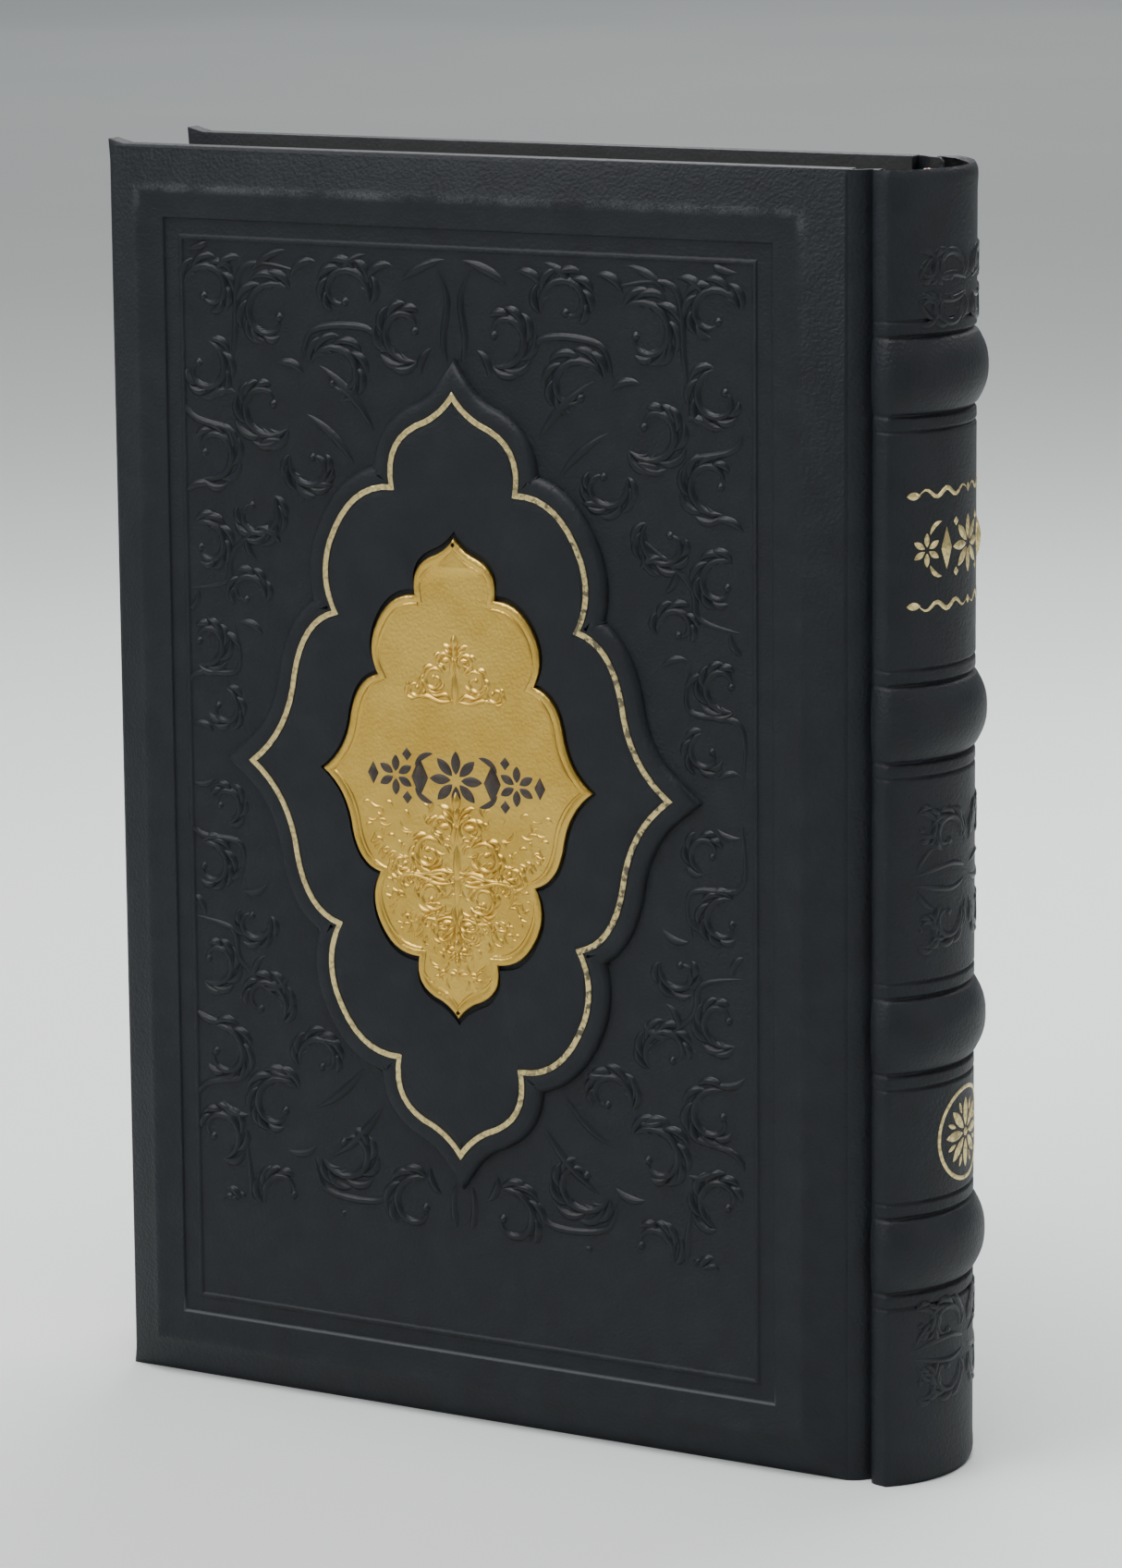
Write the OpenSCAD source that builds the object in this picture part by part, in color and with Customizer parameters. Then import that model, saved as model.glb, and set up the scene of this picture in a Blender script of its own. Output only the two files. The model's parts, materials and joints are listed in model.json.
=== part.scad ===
// Hardcover prayer book, bound right to left, standing on its tail edge.
// X runs from the fore edge (-X) to the spine (+X), the front cover faces -Y, Z is up.
// The origin is the centre of the bounding box at the standing surface.

/* [Covers] */
// Height of the covers, head to tail
cover_h = 170; // [120:1:240]
// Width of each board, fore edge to joint
board_w = 108; // [80:1:170]
// Thickness of a covered board at its outer edge
edge_t = 2.6; // [2:0.1:4]
// Rise of the bevelled board above the cover's edge
bevel_rise = 2.4; // [1:0.1:3]
// Width of the bevel along all four sides
bevel_w = 5.5; // [3:0.5:10]
// Thickness of the covering leather
leather_t = 0.8; // [0.5:0.1:1.2]
// Width of the leather folded over onto the inside of each board
turn_in_w = 12; // [8:1:20]
// Thickness of the endpaper pasted on each board
pastedown_t = 0.25; // [0.15:0.05:0.4]

/* [Cover panel] */
// Distance from the board's edge to the sunken panel
panel_margin = 9.4; // [7:0.2:14]
// Depth of the sunken panel
panel_sink = 0.7; // [0.3:0.1:1]
// Half width of the medallion's gilt line, centre to side tip
medallion_a = 31.4; // [20:0.2:36]
// Half height of the medallion's gilt line, centre to top tip
medallion_b = 50.4; // [35:0.2:60]
// Height of the medallion's centre above the board's middle
medallion_lift = 3; // [0:0.5:5]
// Rise of the medallion's field above the sunken panel
medallion_rise = 1; // [0.5:0.1:1.5]
// Margin of the raised field outside the gilt line
medallion_margin = 2.6; // [1:0.1:4]
// Width of the gilt line
gilt_line_w = 0.9; // [0.5:0.1:1.5]
// Thickness of the gilding and of the gilt ornaments
gilt_t = 0.12; // [0.1:0.02:0.3]

/* [Plaque] */
// Half width of the metal plaque
plaque_a = 20.6; // [12:0.2:24]
// Half height of the metal plaque
plaque_b = 32.2; // [20:0.2:38]
// Thickness of the metal plaque
plaque_t = 1; // [0.6:0.1:1.5]
// Depth of the seat that the plaque lies in
plaque_seat = 0.8; // [0.4:0.1:0.9]
// Gap between the plaque and its seat all round
plaque_gap = 0.9; // [0.3:0.1:1.5]
// Width of the dark ornament set into the plaque
inlay_w = 22; // [12:1:26]

/* [Spine] */
// Width of the joint between board and spine
joint_w = 5.5; // [5:0.5:9]
// How far the spine bulges past the joint
spine_rise = 6; // [5:0.5:9]
// Middles of the four raised bands, as shares of the covers' height
band_at = [0.18, 0.35, 0.588, 0.848]; // [0.08:0.001:0.92]
// Height of one raised band along the spine
band_h = 9.5; // [6:0.5:12]
// Rise of the bands above the spine
band_rise = 1.5; // [1:0.1:2.5]
// Size of the gilt rosette on the spine
rosette_d = 12; // [6:0.5:14]
// Thickness of the card inlay behind the spine leather
spine_card_t = 1; // [0.6:0.1:1.5]

/* [Pages] */
// Thickness of the whole text block
block_t = 17.4; // [12:0.2:40]
// How far the covers stand out past the leaves
square = 3; // [2:0.5:5]
// How far the block's spine is rounded
rounding = 5; // [3:0.5:7]
// Thickness of a free endpaper
flyleaf_t = 0.25; // [0.15:0.05:0.4]
// Thickness of each group of turning leaves
leaf_group_t = 0.9; // [0.5:0.1:1.5]
// Number of groups of turning leaves
leaf_group_count = 4; // [2:1:4]
// Number of sewn sections that stay closed
section_count = 8; // [4:1:8]
// Width of the gutter, from the turning line to the block's spine
gutter_w = 9; // [6:0.5:14]

/* [Hidden] */
leaf_gap = 0.08;
body_gap = 0.2;
lining_t = 0.35;
thread_t = 0.35;
thread_h = 1.4;
thread_rows = 5;
curve_steps = 6;
round_fn = 96;

board_half = block_t / 2 + body_gap;
plateau_y = board_half + edge_t + bevel_rise;
panel_y = plateau_y - panel_sink;
field_y = panel_y + medallion_rise;
edge_y = board_half + edge_t;
joint_x = board_w + joint_w;
spine_x = joint_x + spine_rise;
total_w = spine_x + band_rise;
front_y = field_y - plaque_seat + plaque_t + gilt_t;
shift_x = -total_w / 2;
shift_y = (front_y - plateau_y) / 2;
spine_half = edge_y + 0.3;
spine_r = (pow(spine_half, 2) + pow(spine_rise, 2)) / (2 * spine_rise);
spine_cx = spine_x - spine_r;
medallion_x = board_w / 2;
medallion_z = cover_h / 2 + medallion_lift;
block_h = cover_h - 2 * square;
block_spine_x = spine_x - leather_t - spine_card_t - 1.4 - lining_t - thread_t;
arc_r = (pow(block_t / 2, 2) + pow(rounding, 2)) / (2 * rounding);
turn_x = block_spine_x - rounding - gutter_w;
hinge_x = board_w + joint_w / 2;
groups_y0 = -block_t / 2 + flyleaf_t + leaf_gap;
group_pitch = leaf_group_t + leaf_gap;
sections_y0 = groups_y0 + leaf_group_count * group_pitch;
sections_y1 = block_t / 2 - flyleaf_t - leaf_gap;
section_t = (sections_y1 - sections_y0) / section_count;
title_z = cover_h * (band_at[2] + band_at[3]) / 2;
title_gap = 7;
rosette_z = cover_h * (band_at[0] + band_at[1]) / 2;

// A quadratic curve from p to r with its handle at q, without its last point.
function bend(p, q, r) =
    [for (i = [0 : curve_steps - 1]) let (t = i / curve_steps) (1 - t) * (1 - t) * p + 2 * t * (1 - t) * q + t * t * r];

// One quarter of the lobed medallion, from the top tip to the side tip, in shares of its half sizes:
// a short flare, three round lobes that meet in inward cusps, and a long flare.
quarter = concat(
    bend([0, 1], [0.05, 0.955], [0.13, 0.93]), bend([0.13, 0.93], [0.335, 0.885], [0.293, 0.755]),
    bend([0.293, 0.755], [0.50, 0.76], [0.60, 0.60]), bend([0.60, 0.60], [0.655, 0.50], [0.577, 0.415]),
    bend([0.577, 0.415], [0.74, 0.39], [0.785, 0.24]), bend([0.785, 0.24], [0.815, 0.085], [1, 0]));

// The whole lobed outline with half width a and half height b.
function lobed(a, b) = concat(
    [for (p = quarter) [a * p.x, b * p.y]],
    [for (i = [len(quarter) - 1 : -1 : 1]) [a * quarter[i].x, -b * quarter[i].y]], [[0, -b]],
    [for (i = [1 : len(quarter) - 1]) [-a * quarter[i].x, -b * quarter[i].y]], [[-a, 0]],
    [for (i = [len(quarter) - 1 : -1 : 1]) [-a * quarter[i].x, b * quarter[i].y]]);

// Moves from the working frame, whose X starts at the fore edge, to the book's own frame.
module placed() { translate([shift_x, shift_y, 0]) children(); }

// Stands a flat shape up in the plane of the front cover, from depth y outwards by t.
module on_front(y, t) {
    translate([medallion_x, -y, medallion_z]) rotate([90, 0, 0]) linear_extrude(height = t) children();
}

// A slab with four bevelled sides, lying behind -Y; inset shrinks it all round.
module bevelled_slab(inner_y, inset) {
    rise = plateau_y - inset;
    rim = edge_y - inset;
    intersection() {
        linear_extrude(height = cover_h - inset * 2)
            polygon([[inset, -inner_y], [inset, -rim], [inset + bevel_w, -rise],
                     [board_w - inset - bevel_w, -rise], [board_w - inset, -rim], [board_w - inset, -inner_y]]);
        rotate([90, 0, 90]) linear_extrude(height = board_w)
            polygon([[-inner_y, 0], [-rim, 0], [-rise, bevel_w], [-rise, cover_h - 2 * inset - bevel_w],
                     [-rim, cover_h - 2 * inset], [-inner_y, cover_h - 2 * inset]]);
    }
}

// The two boards inside a cover, with the sunken panel cut in.
module core_solid() {
    translate([0, 0, leather_t]) difference() {
        bevelled_slab(board_half + pastedown_t, leather_t);
        translate([panel_margin, -plateau_y, panel_margin - leather_t])
            cube([board_w - 2 * panel_margin, panel_sink + leather_t, cover_h - 2 * panel_margin]);
    }
}

// The flat board: the part of the core up to the level where the bevel starts.
module board_solid() {
    intersection() {
        core_solid();
        translate([0, leather_t - edge_y, 0]) cube([board_w, edge_t, cover_h]);
    }
}

// The bevelled board laid on the flat one.
module bevel_board_solid() {
    difference() {
        core_solid();
        translate([-1, leather_t - edge_y, -1]) cube([board_w + 2, edge_t, cover_h + 2]);
    }
}

// The leather over a cover, with its sunken panel, its hollow for the boards and its turned-in edges.
module cover_leather_solid() {
    difference() {
        bevelled_slab(board_half, 0);
        core_solid();
        translate([panel_margin, -plateau_y - 1, panel_margin])
            cube([board_w - 2 * panel_margin, panel_sink + 1, cover_h - 2 * panel_margin]);
        translate([turn_in_w, -board_half - pastedown_t, turn_in_w])
            cube([board_w - 2 * turn_in_w, pastedown_t + 1, cover_h - 2 * turn_in_w]);
    }
}

module front_board() { color("tan") placed() board_solid(); }
module front_bevel_board() { color("burlywood") placed() bevel_board_solid(); }

module front_leather() {
    color("#2b3138") placed() difference() {
        union() {
            cover_leather_solid();
            on_front(panel_y - leather_t / 2, medallion_rise + leather_t / 2)
                polygon(lobed(medallion_a + medallion_margin, medallion_b + medallion_margin));
        }
        on_front(field_y - plaque_seat, plaque_seat + 1)
            polygon(lobed(plaque_a + plaque_gap, plaque_b + plaque_gap));
    }
}

module pastedown_solid() {
    translate([turn_in_w, -board_half - pastedown_t, turn_in_w])
        cube([board_w - 2 * turn_in_w, pastedown_t, cover_h - 2 * turn_in_w]);
}

module front_pastedown() { color("ivory") placed() pastedown_solid(); }

module medallion_gilt_line() {
    color("#c8b984") placed() on_front(field_y, gilt_t) difference() {
        polygon(lobed(medallion_a + gilt_line_w / 2, medallion_b + gilt_line_w / 2));
        polygon(lobed(medallion_a - gilt_line_w / 2, medallion_b - gilt_line_w / 2));
    }
}

// A row of five lozenges, large and small in turn.
module lozenge_row(w, big, small) {
    for (i = [-2 : 2]) translate([i * w / 5, 0]) rotate(45) square(i % 2 == 0 ? big : small, center = true);
}

module inlay_outline() { lozenge_row(inlay_w, inlay_w * 0.14, inlay_w * 0.09); }

module plaque() {
    color("goldenrod") placed() difference() {
        on_front(field_y - plaque_seat, plaque_t) polygon(lobed(plaque_a, plaque_b));
        on_front(field_y - plaque_seat + plaque_t / 2, plaque_t) inlay_outline();
    }
}

module plaque_inlay() {
    color("#201a18") placed() on_front(field_y - plaque_seat + plaque_t / 2, plaque_t / 2) inlay_outline();
}

// Six-petalled filigree above and below the dark ornament, raised on the plaque.
module plaque_filigree() {
    color("gold") placed() on_front(field_y - plaque_seat + plaque_t, gilt_t)
        for (side = [1, -1], turn = [0 : 60 : 300])
            translate([0, side * plaque_b * 0.42]) rotate(turn) translate([3.4, 0]) circle(r = 1.3, $fn = 24);
}

module back_board() { color("tan") placed() mirror([0, 1, 0]) board_solid(); }
module back_bevel_board() { color("burlywood") placed() mirror([0, 1, 0]) bevel_board_solid(); }

module back_leather() {
    color("#2b3138") placed() mirror([0, 1, 0]) cover_leather_solid();
}

module back_pastedown() { color("ivory") placed() mirror([0, 1, 0]) pastedown_solid(); }

// The flexible leather between a board and the spine, pressed into a groove.
module joint_solid() {
    x0 = board_w + body_gap;
    x1 = joint_x - body_gap;
    floor_half = joint_w * 0.16;
    rim = 0.5 - edge_y;
    sink = -board_half - 0.3;
    linear_extrude(height = cover_h)
        polygon([[x0, rim], [x0, rim - leather_t], [hinge_x - floor_half, sink - leather_t],
                 [hinge_x + floor_half, sink - leather_t], [x1, rim - leather_t], [x1, rim],
                 [hinge_x + floor_half, sink], [hinge_x - floor_half, sink]]);
}

module front_joint() { color("#23282e") placed() joint_solid(); }
module back_joint() { color("#23282e") placed() mirror([0, 1, 0]) joint_solid(); }

// A curved strip round the spine, between two depths below its outer surface.
module spine_strip(z, h, out, in) {
    translate([0, 0, z]) linear_extrude(height = h) intersection() {
        difference() {
            translate([spine_cx, 0]) circle(r = spine_r - out, $fn = round_fn);
            translate([spine_cx, 0]) circle(r = spine_r - in, $fn = round_fn);
        }
        translate([joint_x + body_gap, -plateau_y * 2]) square([total_w, plateau_y * 4]);
    }
}

// Puts its child at the middle of every raised band.
module each_band() {
    for (share = band_at) translate([0, 0, share * cover_h]) children();
}

module spine_leather() {
    color("#2b3138") placed() difference() {
        union() {
            spine_strip(0, cover_h, 0, leather_t);
            each_band() spine_strip(-band_h / 2, band_h, -band_rise / 2, leather_t);
            each_band() spine_strip(-band_h * 0.34, band_h * 0.68, -band_rise, leather_t);
        }
        each_band() spine_strip(-band_h * 0.3, band_h * 0.6, leather_t - band_rise, leather_t + 1);
    }
}

module raised_bands() {
    color("tan") placed() each_band() spine_strip(-band_h * 0.3, band_h * 0.6, leather_t - band_rise, leather_t);
}

module spine_card() {
    color("burlywood") placed()
        spine_strip(leather_t * 2, cover_h - leather_t * 4, leather_t, leather_t + spine_card_t);
}

// A thin gilt ornament laid on the round of the spine; its child is drawn flat, with X across the spine.
module gilt_on_spine(z) {
    color("#c8b984") placed() intersection() {
        spine_strip(z - rosette_d, rosette_d * 2, -gilt_t, 0);
        translate([joint_x, 0, z]) rotate([90, 0, 90]) linear_extrude(height = total_w) children();
    }
}

module spine_title_gilt() { gilt_on_spine(title_z) lozenge_row(15, 2.4, 1.4); }

// Two rows of dots, one above and one below the middle ornament.
module spine_scroll_gilt() {
    gilt_on_spine(title_z)
        for (side = [1, -1], i = [-2 : 2]) translate([i * 1.8, side * title_gap]) circle(r = 0.6, $fn = 20);
}

// A ring with four petals inside it.
module spine_rosette_gilt() {
    gilt_on_spine(rosette_z) {
        difference() {
            circle(r = rosette_d / 2, $fn = 48);
            circle(r = rosette_d / 2 - 0.6, $fn = 48);
        }
        for (turn = [45 : 90 : 315]) rotate(turn) translate([rosette_d * 0.2, 0]) circle(r = rosette_d * 0.11, $fn = 20);
    }
}

// The text block's outline seen from above: rounded spine and hollow fore edge.
module block_outline() {
    difference() {
        union() {
            translate([square, -block_t / 2]) square([block_spine_x - rounding - square, block_t]);
            intersection() {
                translate([block_spine_x - arc_r, 0]) circle(r = arc_r, $fn = round_fn);
                translate([turn_x, -block_t / 2]) square([arc_r * 2 + gutter_w, block_t]);
            }
        }
        translate([square + rounding - arc_r, 0]) circle(r = arc_r, $fn = round_fn);
    }
}

// Part of the text block between two depths and two widths.
module block_slice(y0, y1, x0 = 0, x1 = total_w) {
    placed() translate([0, 0, square]) linear_extrude(height = block_h) intersection() {
        block_outline();
        translate([x0, y0]) square([x1 - x0, y1 - y0]);
    }
}

// Leaves that turn about the front face of their own inner end, which tapers so they can fan out.
module turning_leaves(y0, t, flip = 1) {
    placed() translate([0, 0, square]) linear_extrude(height = block_h) intersection() {
        block_outline();
        polygon([[0, y0], [turn_x, y0], [turn_x - 4 * t, y0 + flip * t], [0, y0 + flip * t]]);
    }
}

module front_gutter() {
    color("ivory") block_slice(-block_t / 2, sections_y0 - leaf_gap, turn_x + body_gap);
}

module section(i) {
    color("ivory") block_slice(sections_y0 + (i - 1) * section_t, sections_y0 + i * section_t);
}

module front_flyleaf() { color("linen") turning_leaves(-block_t / 2, flyleaf_t); }
module leaf_group(i) { color("ivory") turning_leaves(groups_y0 + (i - 1) * group_pitch, leaf_group_t); }
module back_flyleaf() { color("linen") turning_leaves(block_t / 2, flyleaf_t, -1); }

// A strip round the block's rounded spine between two distances from it.
module block_spine_strip(z, h, out, in) {
    placed() translate([0, 0, z]) linear_extrude(height = h) intersection() {
        difference() {
            translate([block_spine_x - arc_r, 0]) circle(r = arc_r + out, $fn = round_fn);
            translate([block_spine_x - arc_r, 0]) circle(r = arc_r + in, $fn = round_fn);
        }
        translate([block_spine_x - rounding, -block_t / 2]) square([rounding * 3, block_t]);
    }
}

module sewing_threads() {
    color("white") for (i = [1 : thread_rows])
        block_spine_strip(square + i * block_h / (thread_rows + 1) - thread_h / 2, thread_h, thread_t, 0);
}

module spine_lining() {
    color("white") block_spine_strip(square + 6, block_h - 12, thread_t + lining_t, thread_t);
}

module head_band() { color("maroon") block_spine_strip(cover_h - square, 1.6, 0.1, -1.5); }
module tail_band() { color("maroon") block_spine_strip(square - 1.6, 1.6, 0.1, -1.5); }

front_board();
front_bevel_board();
front_leather();
front_pastedown();
medallion_gilt_line();
plaque();
plaque_filigree();
plaque_inlay();
back_board();
back_bevel_board();
back_leather();
back_pastedown();
front_joint();
back_joint();
spine_leather();
spine_card();
raised_bands();
spine_title_gilt();
spine_scroll_gilt();
spine_rosette_gilt();
spine_lining();
sewing_threads();
head_band();
tail_band();
front_gutter();
for (i = [1 : section_count]) section(i);
front_flyleaf();
for (i = [1 : leaf_group_count]) leaf_group(i);
back_flyleaf();
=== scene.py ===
import json
import math
import random

import bpy
import bmesh
from mathutils import Matrix, Quaternion, Vector

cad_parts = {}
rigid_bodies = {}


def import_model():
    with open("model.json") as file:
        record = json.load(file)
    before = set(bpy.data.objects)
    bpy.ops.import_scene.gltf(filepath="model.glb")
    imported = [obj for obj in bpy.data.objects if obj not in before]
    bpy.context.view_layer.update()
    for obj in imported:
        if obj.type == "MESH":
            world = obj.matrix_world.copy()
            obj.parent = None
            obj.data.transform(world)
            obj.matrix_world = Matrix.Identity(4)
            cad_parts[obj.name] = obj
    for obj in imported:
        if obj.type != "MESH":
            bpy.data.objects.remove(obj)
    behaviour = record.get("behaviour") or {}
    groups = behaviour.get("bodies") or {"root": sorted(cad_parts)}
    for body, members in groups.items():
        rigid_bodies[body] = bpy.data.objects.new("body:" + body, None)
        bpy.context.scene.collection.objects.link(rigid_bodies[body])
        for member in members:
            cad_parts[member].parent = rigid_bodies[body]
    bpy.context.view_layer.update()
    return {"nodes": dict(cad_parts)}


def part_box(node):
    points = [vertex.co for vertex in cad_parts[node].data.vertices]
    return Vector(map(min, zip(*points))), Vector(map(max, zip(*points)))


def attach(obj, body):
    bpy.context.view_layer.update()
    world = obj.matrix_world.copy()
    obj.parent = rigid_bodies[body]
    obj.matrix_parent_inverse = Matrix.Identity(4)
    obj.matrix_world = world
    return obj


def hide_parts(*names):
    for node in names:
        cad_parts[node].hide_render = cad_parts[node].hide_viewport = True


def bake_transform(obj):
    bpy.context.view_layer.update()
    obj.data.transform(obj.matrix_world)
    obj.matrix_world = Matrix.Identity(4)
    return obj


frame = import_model()

bl_info = {
    "name": "Leather Prayer Book",
    "version": (1, 0, 0),
    "blender": (4, 5, 0),
    "location": "View3D > Sidebar > Prayer Book",
    "description": "Binds a leather prayer book with padded covers, a gilt medallion and a gold plaque",
    "category": "Object",
}

MM = 0.001

# ---------------------------------------------------------------- places taken from the frame

FRONT_LO, FRONT_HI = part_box("front_leather")
BACK_LO, BACK_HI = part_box("back_leather")
LINE_LO, LINE_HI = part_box("medallion_gilt_line")
PLAQUE_LO, PLAQUE_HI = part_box("plaque")
CARD_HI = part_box("spine_card")[1]
TITLE_LO, TITLE_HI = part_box("spine_title_gilt")
ROSETTE_LO, ROSETTE_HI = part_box("spine_rosette_gilt")

FORE_X = BACK_LO.x
JOINT_X = BACK_HI.x
TOP_Z = BACK_HI.z
BOARD_W = JOINT_X - FORE_X
MID_Y = (FRONT_HI.y + BACK_LO.y) / 2
INNER = (BACK_LO.y - FRONT_HI.y) / 2
PLATEAU = BACK_HI.y - MID_Y
FIELD = MID_Y - FRONT_LO.y
MEDALLION_X = (LINE_LO.x + LINE_HI.x) / 2
MEDALLION_Z = (LINE_LO.z + LINE_HI.z) / 2
LINE_A = (LINE_HI.x - LINE_LO.x) / 2
LINE_B = (LINE_HI.z - LINE_LO.z) / 2
PLAQUE_A = (PLAQUE_HI.x - PLAQUE_LO.x) / 2
PLAQUE_B = (PLAQUE_HI.z - PLAQUE_LO.z) / 2

# The four bands are one node; each band's middle is a share of the covers' height.
BAND_SHARES = (0.18, 0.35, 0.588, 0.848)
BAND_Z = [share * TOP_Z for share in BAND_SHARES]


# ---------------------------------------------------------------- settings

def length_setting(name, description, size):
    """A length property, its default given in millimetres."""
    return bpy.props.FloatProperty(
        name=name, description=description, default=size * MM, unit="LENGTH", precision=5)


def color_setting(name, description, shade):
    return bpy.props.FloatVectorProperty(
        name=name, description=description, subtype="COLOR", default=shade, size=3, min=0, max=1)


def angle_setting(name, description, degrees):
    return bpy.props.FloatProperty(
        name=name, description=description, default=math.radians(degrees), subtype="ANGLE")


class CoverSettings(bpy.types.PropertyGroup):
    edge_thickness: length_setting("Edge thickness", "Thickness of a cover at its outer edge", 2.6)
    bevel_width: length_setting("Bevel width", "Width of the padded bevel on all four sides", 5.5)
    panel_margin: length_setting("Panel margin", "Distance from the cover's edge to the sunken panel", 9.4)
    panel_sink: length_setting("Panel depth", "How far the panel lies below the rim", 0.7)
    turn_in: length_setting("Turn-in", "Width of leather folded onto the inside of the board", 12)
    leather_color: color_setting("Leather", "Colour of the dyed leather", (0.0060, 0.0073, 0.0098))
    worn_color: color_setting("Worn leather", "Colour where the dye has thinned", (0.0094, 0.0114, 0.0146))


class MedallionSettings(bpy.types.PropertyGroup):
    margin: length_setting("Field margin", "Raised leather outside the gilt line", 2.6)
    line_width: length_setting("Gilt line", "Width of the gilt outline", 0.74)
    plaque_gap: length_setting("Plaque gap", "Gap between the plaque and its seat", 0.7)
    stroke: length_setting("Scroll stroke", "Width of the widest blind-tooled stroke", 1.5)
    gilt_color: color_setting("Gilding", "Colour of the gold foil", (0.60, 0.49, 0.22))
    plaque_color: color_setting("Plaque", "Colour of the gold-plated plaque", (0.52, 0.325, 0.062))


class SpineSettings(bpy.types.PropertyGroup):
    band_rise: length_setting("Band rise", "How far the raised bands stand out", 1.5)
    band_height: length_setting("Band height", "Height of one band along the spine", 9.5)
    thickness: length_setting("Leather thickness", "Thickness of the spine leather", 0.8)
    silk_color: color_setting("Head band silk", "Colour of the silk on the head bands", (0.22, 0.03, 0.035))


class PageSettings(bpy.types.PropertyGroup):
    paper_color: color_setting("Paper", "Colour of the leaves", (0.79, 0.72, 0.58))
    bend: length_setting("Leaf bend", "Length over which a turning leaf bends at the gutter", 9)


class StageSettings(bpy.types.PropertyGroup):
    azimuth: angle_setting("Camera azimuth", "Turn of the camera towards the spine", 27.05)
    elevation: angle_setting("Camera elevation", "Height of the camera's line of sight", 8.59)
    distance: bpy.props.FloatProperty(
        name="Camera distance", description="Distance from the camera to its target",
        default=0.631, unit="LENGTH")
    roll: angle_setting("Roll", "Tilt of the camera round its line of sight", -0.49)
    target: bpy.props.FloatVectorProperty(
        name="Target", description="Point that the camera looks at", subtype="TRANSLATION",
        default=(0.0071, -0.0112, 0.1297), size=3)
    lens: bpy.props.FloatProperty(
        name="Lens", description="Focal length in millimetres", default=112.2)
    shift_y: bpy.props.FloatProperty(
        name="Vertical shift", description="Rise of the lens, as a share of the frame's height",
        default=-0.2)


SETTINGS = {
    "pb_cover": CoverSettings,
    "pb_medallion": MedallionSettings,
    "pb_spine": SpineSettings,
    "pb_pages": PageSettings,
    "pb_stage": StageSettings,
}


# ---------------------------------------------------------------- shader expressions

class Wire:
    """A shader socket that takes part in Python expressions."""

    def __init__(self, shader, socket):
        self.shader = shader
        self.socket = socket

    def _math(self, operation, a, b=None):
        values = {0: a} if b is None else {0: a, 1: b}
        return self.shader.node("ShaderNodeMath", {"operation": operation}, values)

    def __add__(self, other): return self._math("ADD", self, other)
    def __radd__(self, other): return self._math("ADD", other, self)
    def __sub__(self, other): return self._math("SUBTRACT", self, other)
    def __rsub__(self, other): return self._math("SUBTRACT", other, self)
    def __mul__(self, other): return self._math("MULTIPLY", self, other)
    def __rmul__(self, other): return self._math("MULTIPLY", other, self)
    def least(self, other): return self._math("MINIMUM", self, other)
    def size(self): return self._math("ABSOLUTE", self)
    def sin(self): return self._math("SINE", self)


class Shader:
    """Builds one material; every node goes through node()."""

    def __init__(self, name):
        self.material = bpy.data.materials.new(name)
        self.material.use_nodes = True
        self.tree = self.material.node_tree
        self.surface = self.tree.nodes["Principled BSDF"]
        self.place = self.node("ShaderNodeTexCoord", {}, {}, "Object")

    def node(self, kind, settings, values, output=0):
        made = self.tree.nodes.new(kind)
        for key, value in settings.items():
            if key == "stops":
                ramp = made.color_ramp
                while len(ramp.elements) < len(value):
                    ramp.elements.new(0.5)
                for element, (position, color) in zip(ramp.elements, value):
                    element.position = position
                    element.color = color
            else:
                setattr(made, key, value)
        for key, value in values.items():
            self.feed(made.inputs[key], value)
        return Wire(self, made.outputs[output])

    def feed(self, socket, value):
        if isinstance(value, Wire):
            self.tree.links.new(value.socket, socket)
        else:
            socket.default_value = value

    def finish(self, **sockets):
        for key, value in sockets.items():
            self.feed(self.surface.inputs[key.replace("_", " ")], value)
        return self.material

    def noise(self, scale, detail=3.0, roughness=0.55, place=None):
        sockets = {"Vector": place or self.place, "Scale": scale, "Detail": detail, "Roughness": roughness}
        return self.node("ShaderNodeTexNoise", {"noise_dimensions": "3D"}, sockets)

    def cells(self, scale, feature="F1"):
        sockets = {"Vector": self.place, "Scale": scale}
        return self.node("ShaderNodeTexVoronoi", {"feature": feature}, sockets)

    def axis(self, letter, vector=None):
        return self.node("ShaderNodeSeparateXYZ", {}, {0: vector or self.place}, letter)

    def stretched(self, x, y, z):
        """The place with its axes stretched, so that a pattern on it is drawn out."""
        return self.node("ShaderNodeMapping", {}, {"Vector": self.place, "Scale": (x, y, z)})

    def ramp(self, value, low, high):
        """Eases from 0 at the low value to 1 at the high one."""
        return self.node("ShaderNodeMapRange", {"interpolation_type": "SMOOTHSTEP"},
                         {"Value": value, "From Min": low, "From Max": high})

    def tint(self, factor, a, b):
        """Mixes two colours, each a wire or three numbers."""
        made = self.node("ShaderNodeMix", {"data_type": "RGBA"}, {"Factor": factor}, 2)
        node = made.socket.node
        self.feed(node.inputs[6], a if isinstance(a, Wire) else (*a, 1))
        self.feed(node.inputs[7], b if isinstance(b, Wire) else (*b, 1))
        return made

    def bump(self, height, strength, distance):
        sockets = {"Height": height, "Strength": strength, "Distance": distance}
        return self.node("ShaderNodeBump", {}, sockets)


# ---------------------------------------------------------------- materials

# Pattern scales are in cells per metre, line scales in radians per metre.
PEBBLE_SCALE = 2200
PORE_SCALE = 6000
LEAF_LINES = 10400.0
LAID_LINES = 6500.0
WEAVE_LINES = 5200.0
SILK_LINES = 3900.0
# Colour of the bevel's ridge: wear together with a painted highlight.
RIDGE_WEAR_AND_HIGHLIGHT = (0.046, 0.050, 0.054)
# Colour of a painted highlight along the panel's line near the tail.
PANEL_LINE_HIGHLIGHT = (0.055, 0.060, 0.064)
BARE_LEATHER = (0.012, 0.013, 0.014)
DULL_FOIL = (0.34, 0.27, 0.13)
BRIGHT_PLATE = (0.62, 0.41, 0.095)


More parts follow.
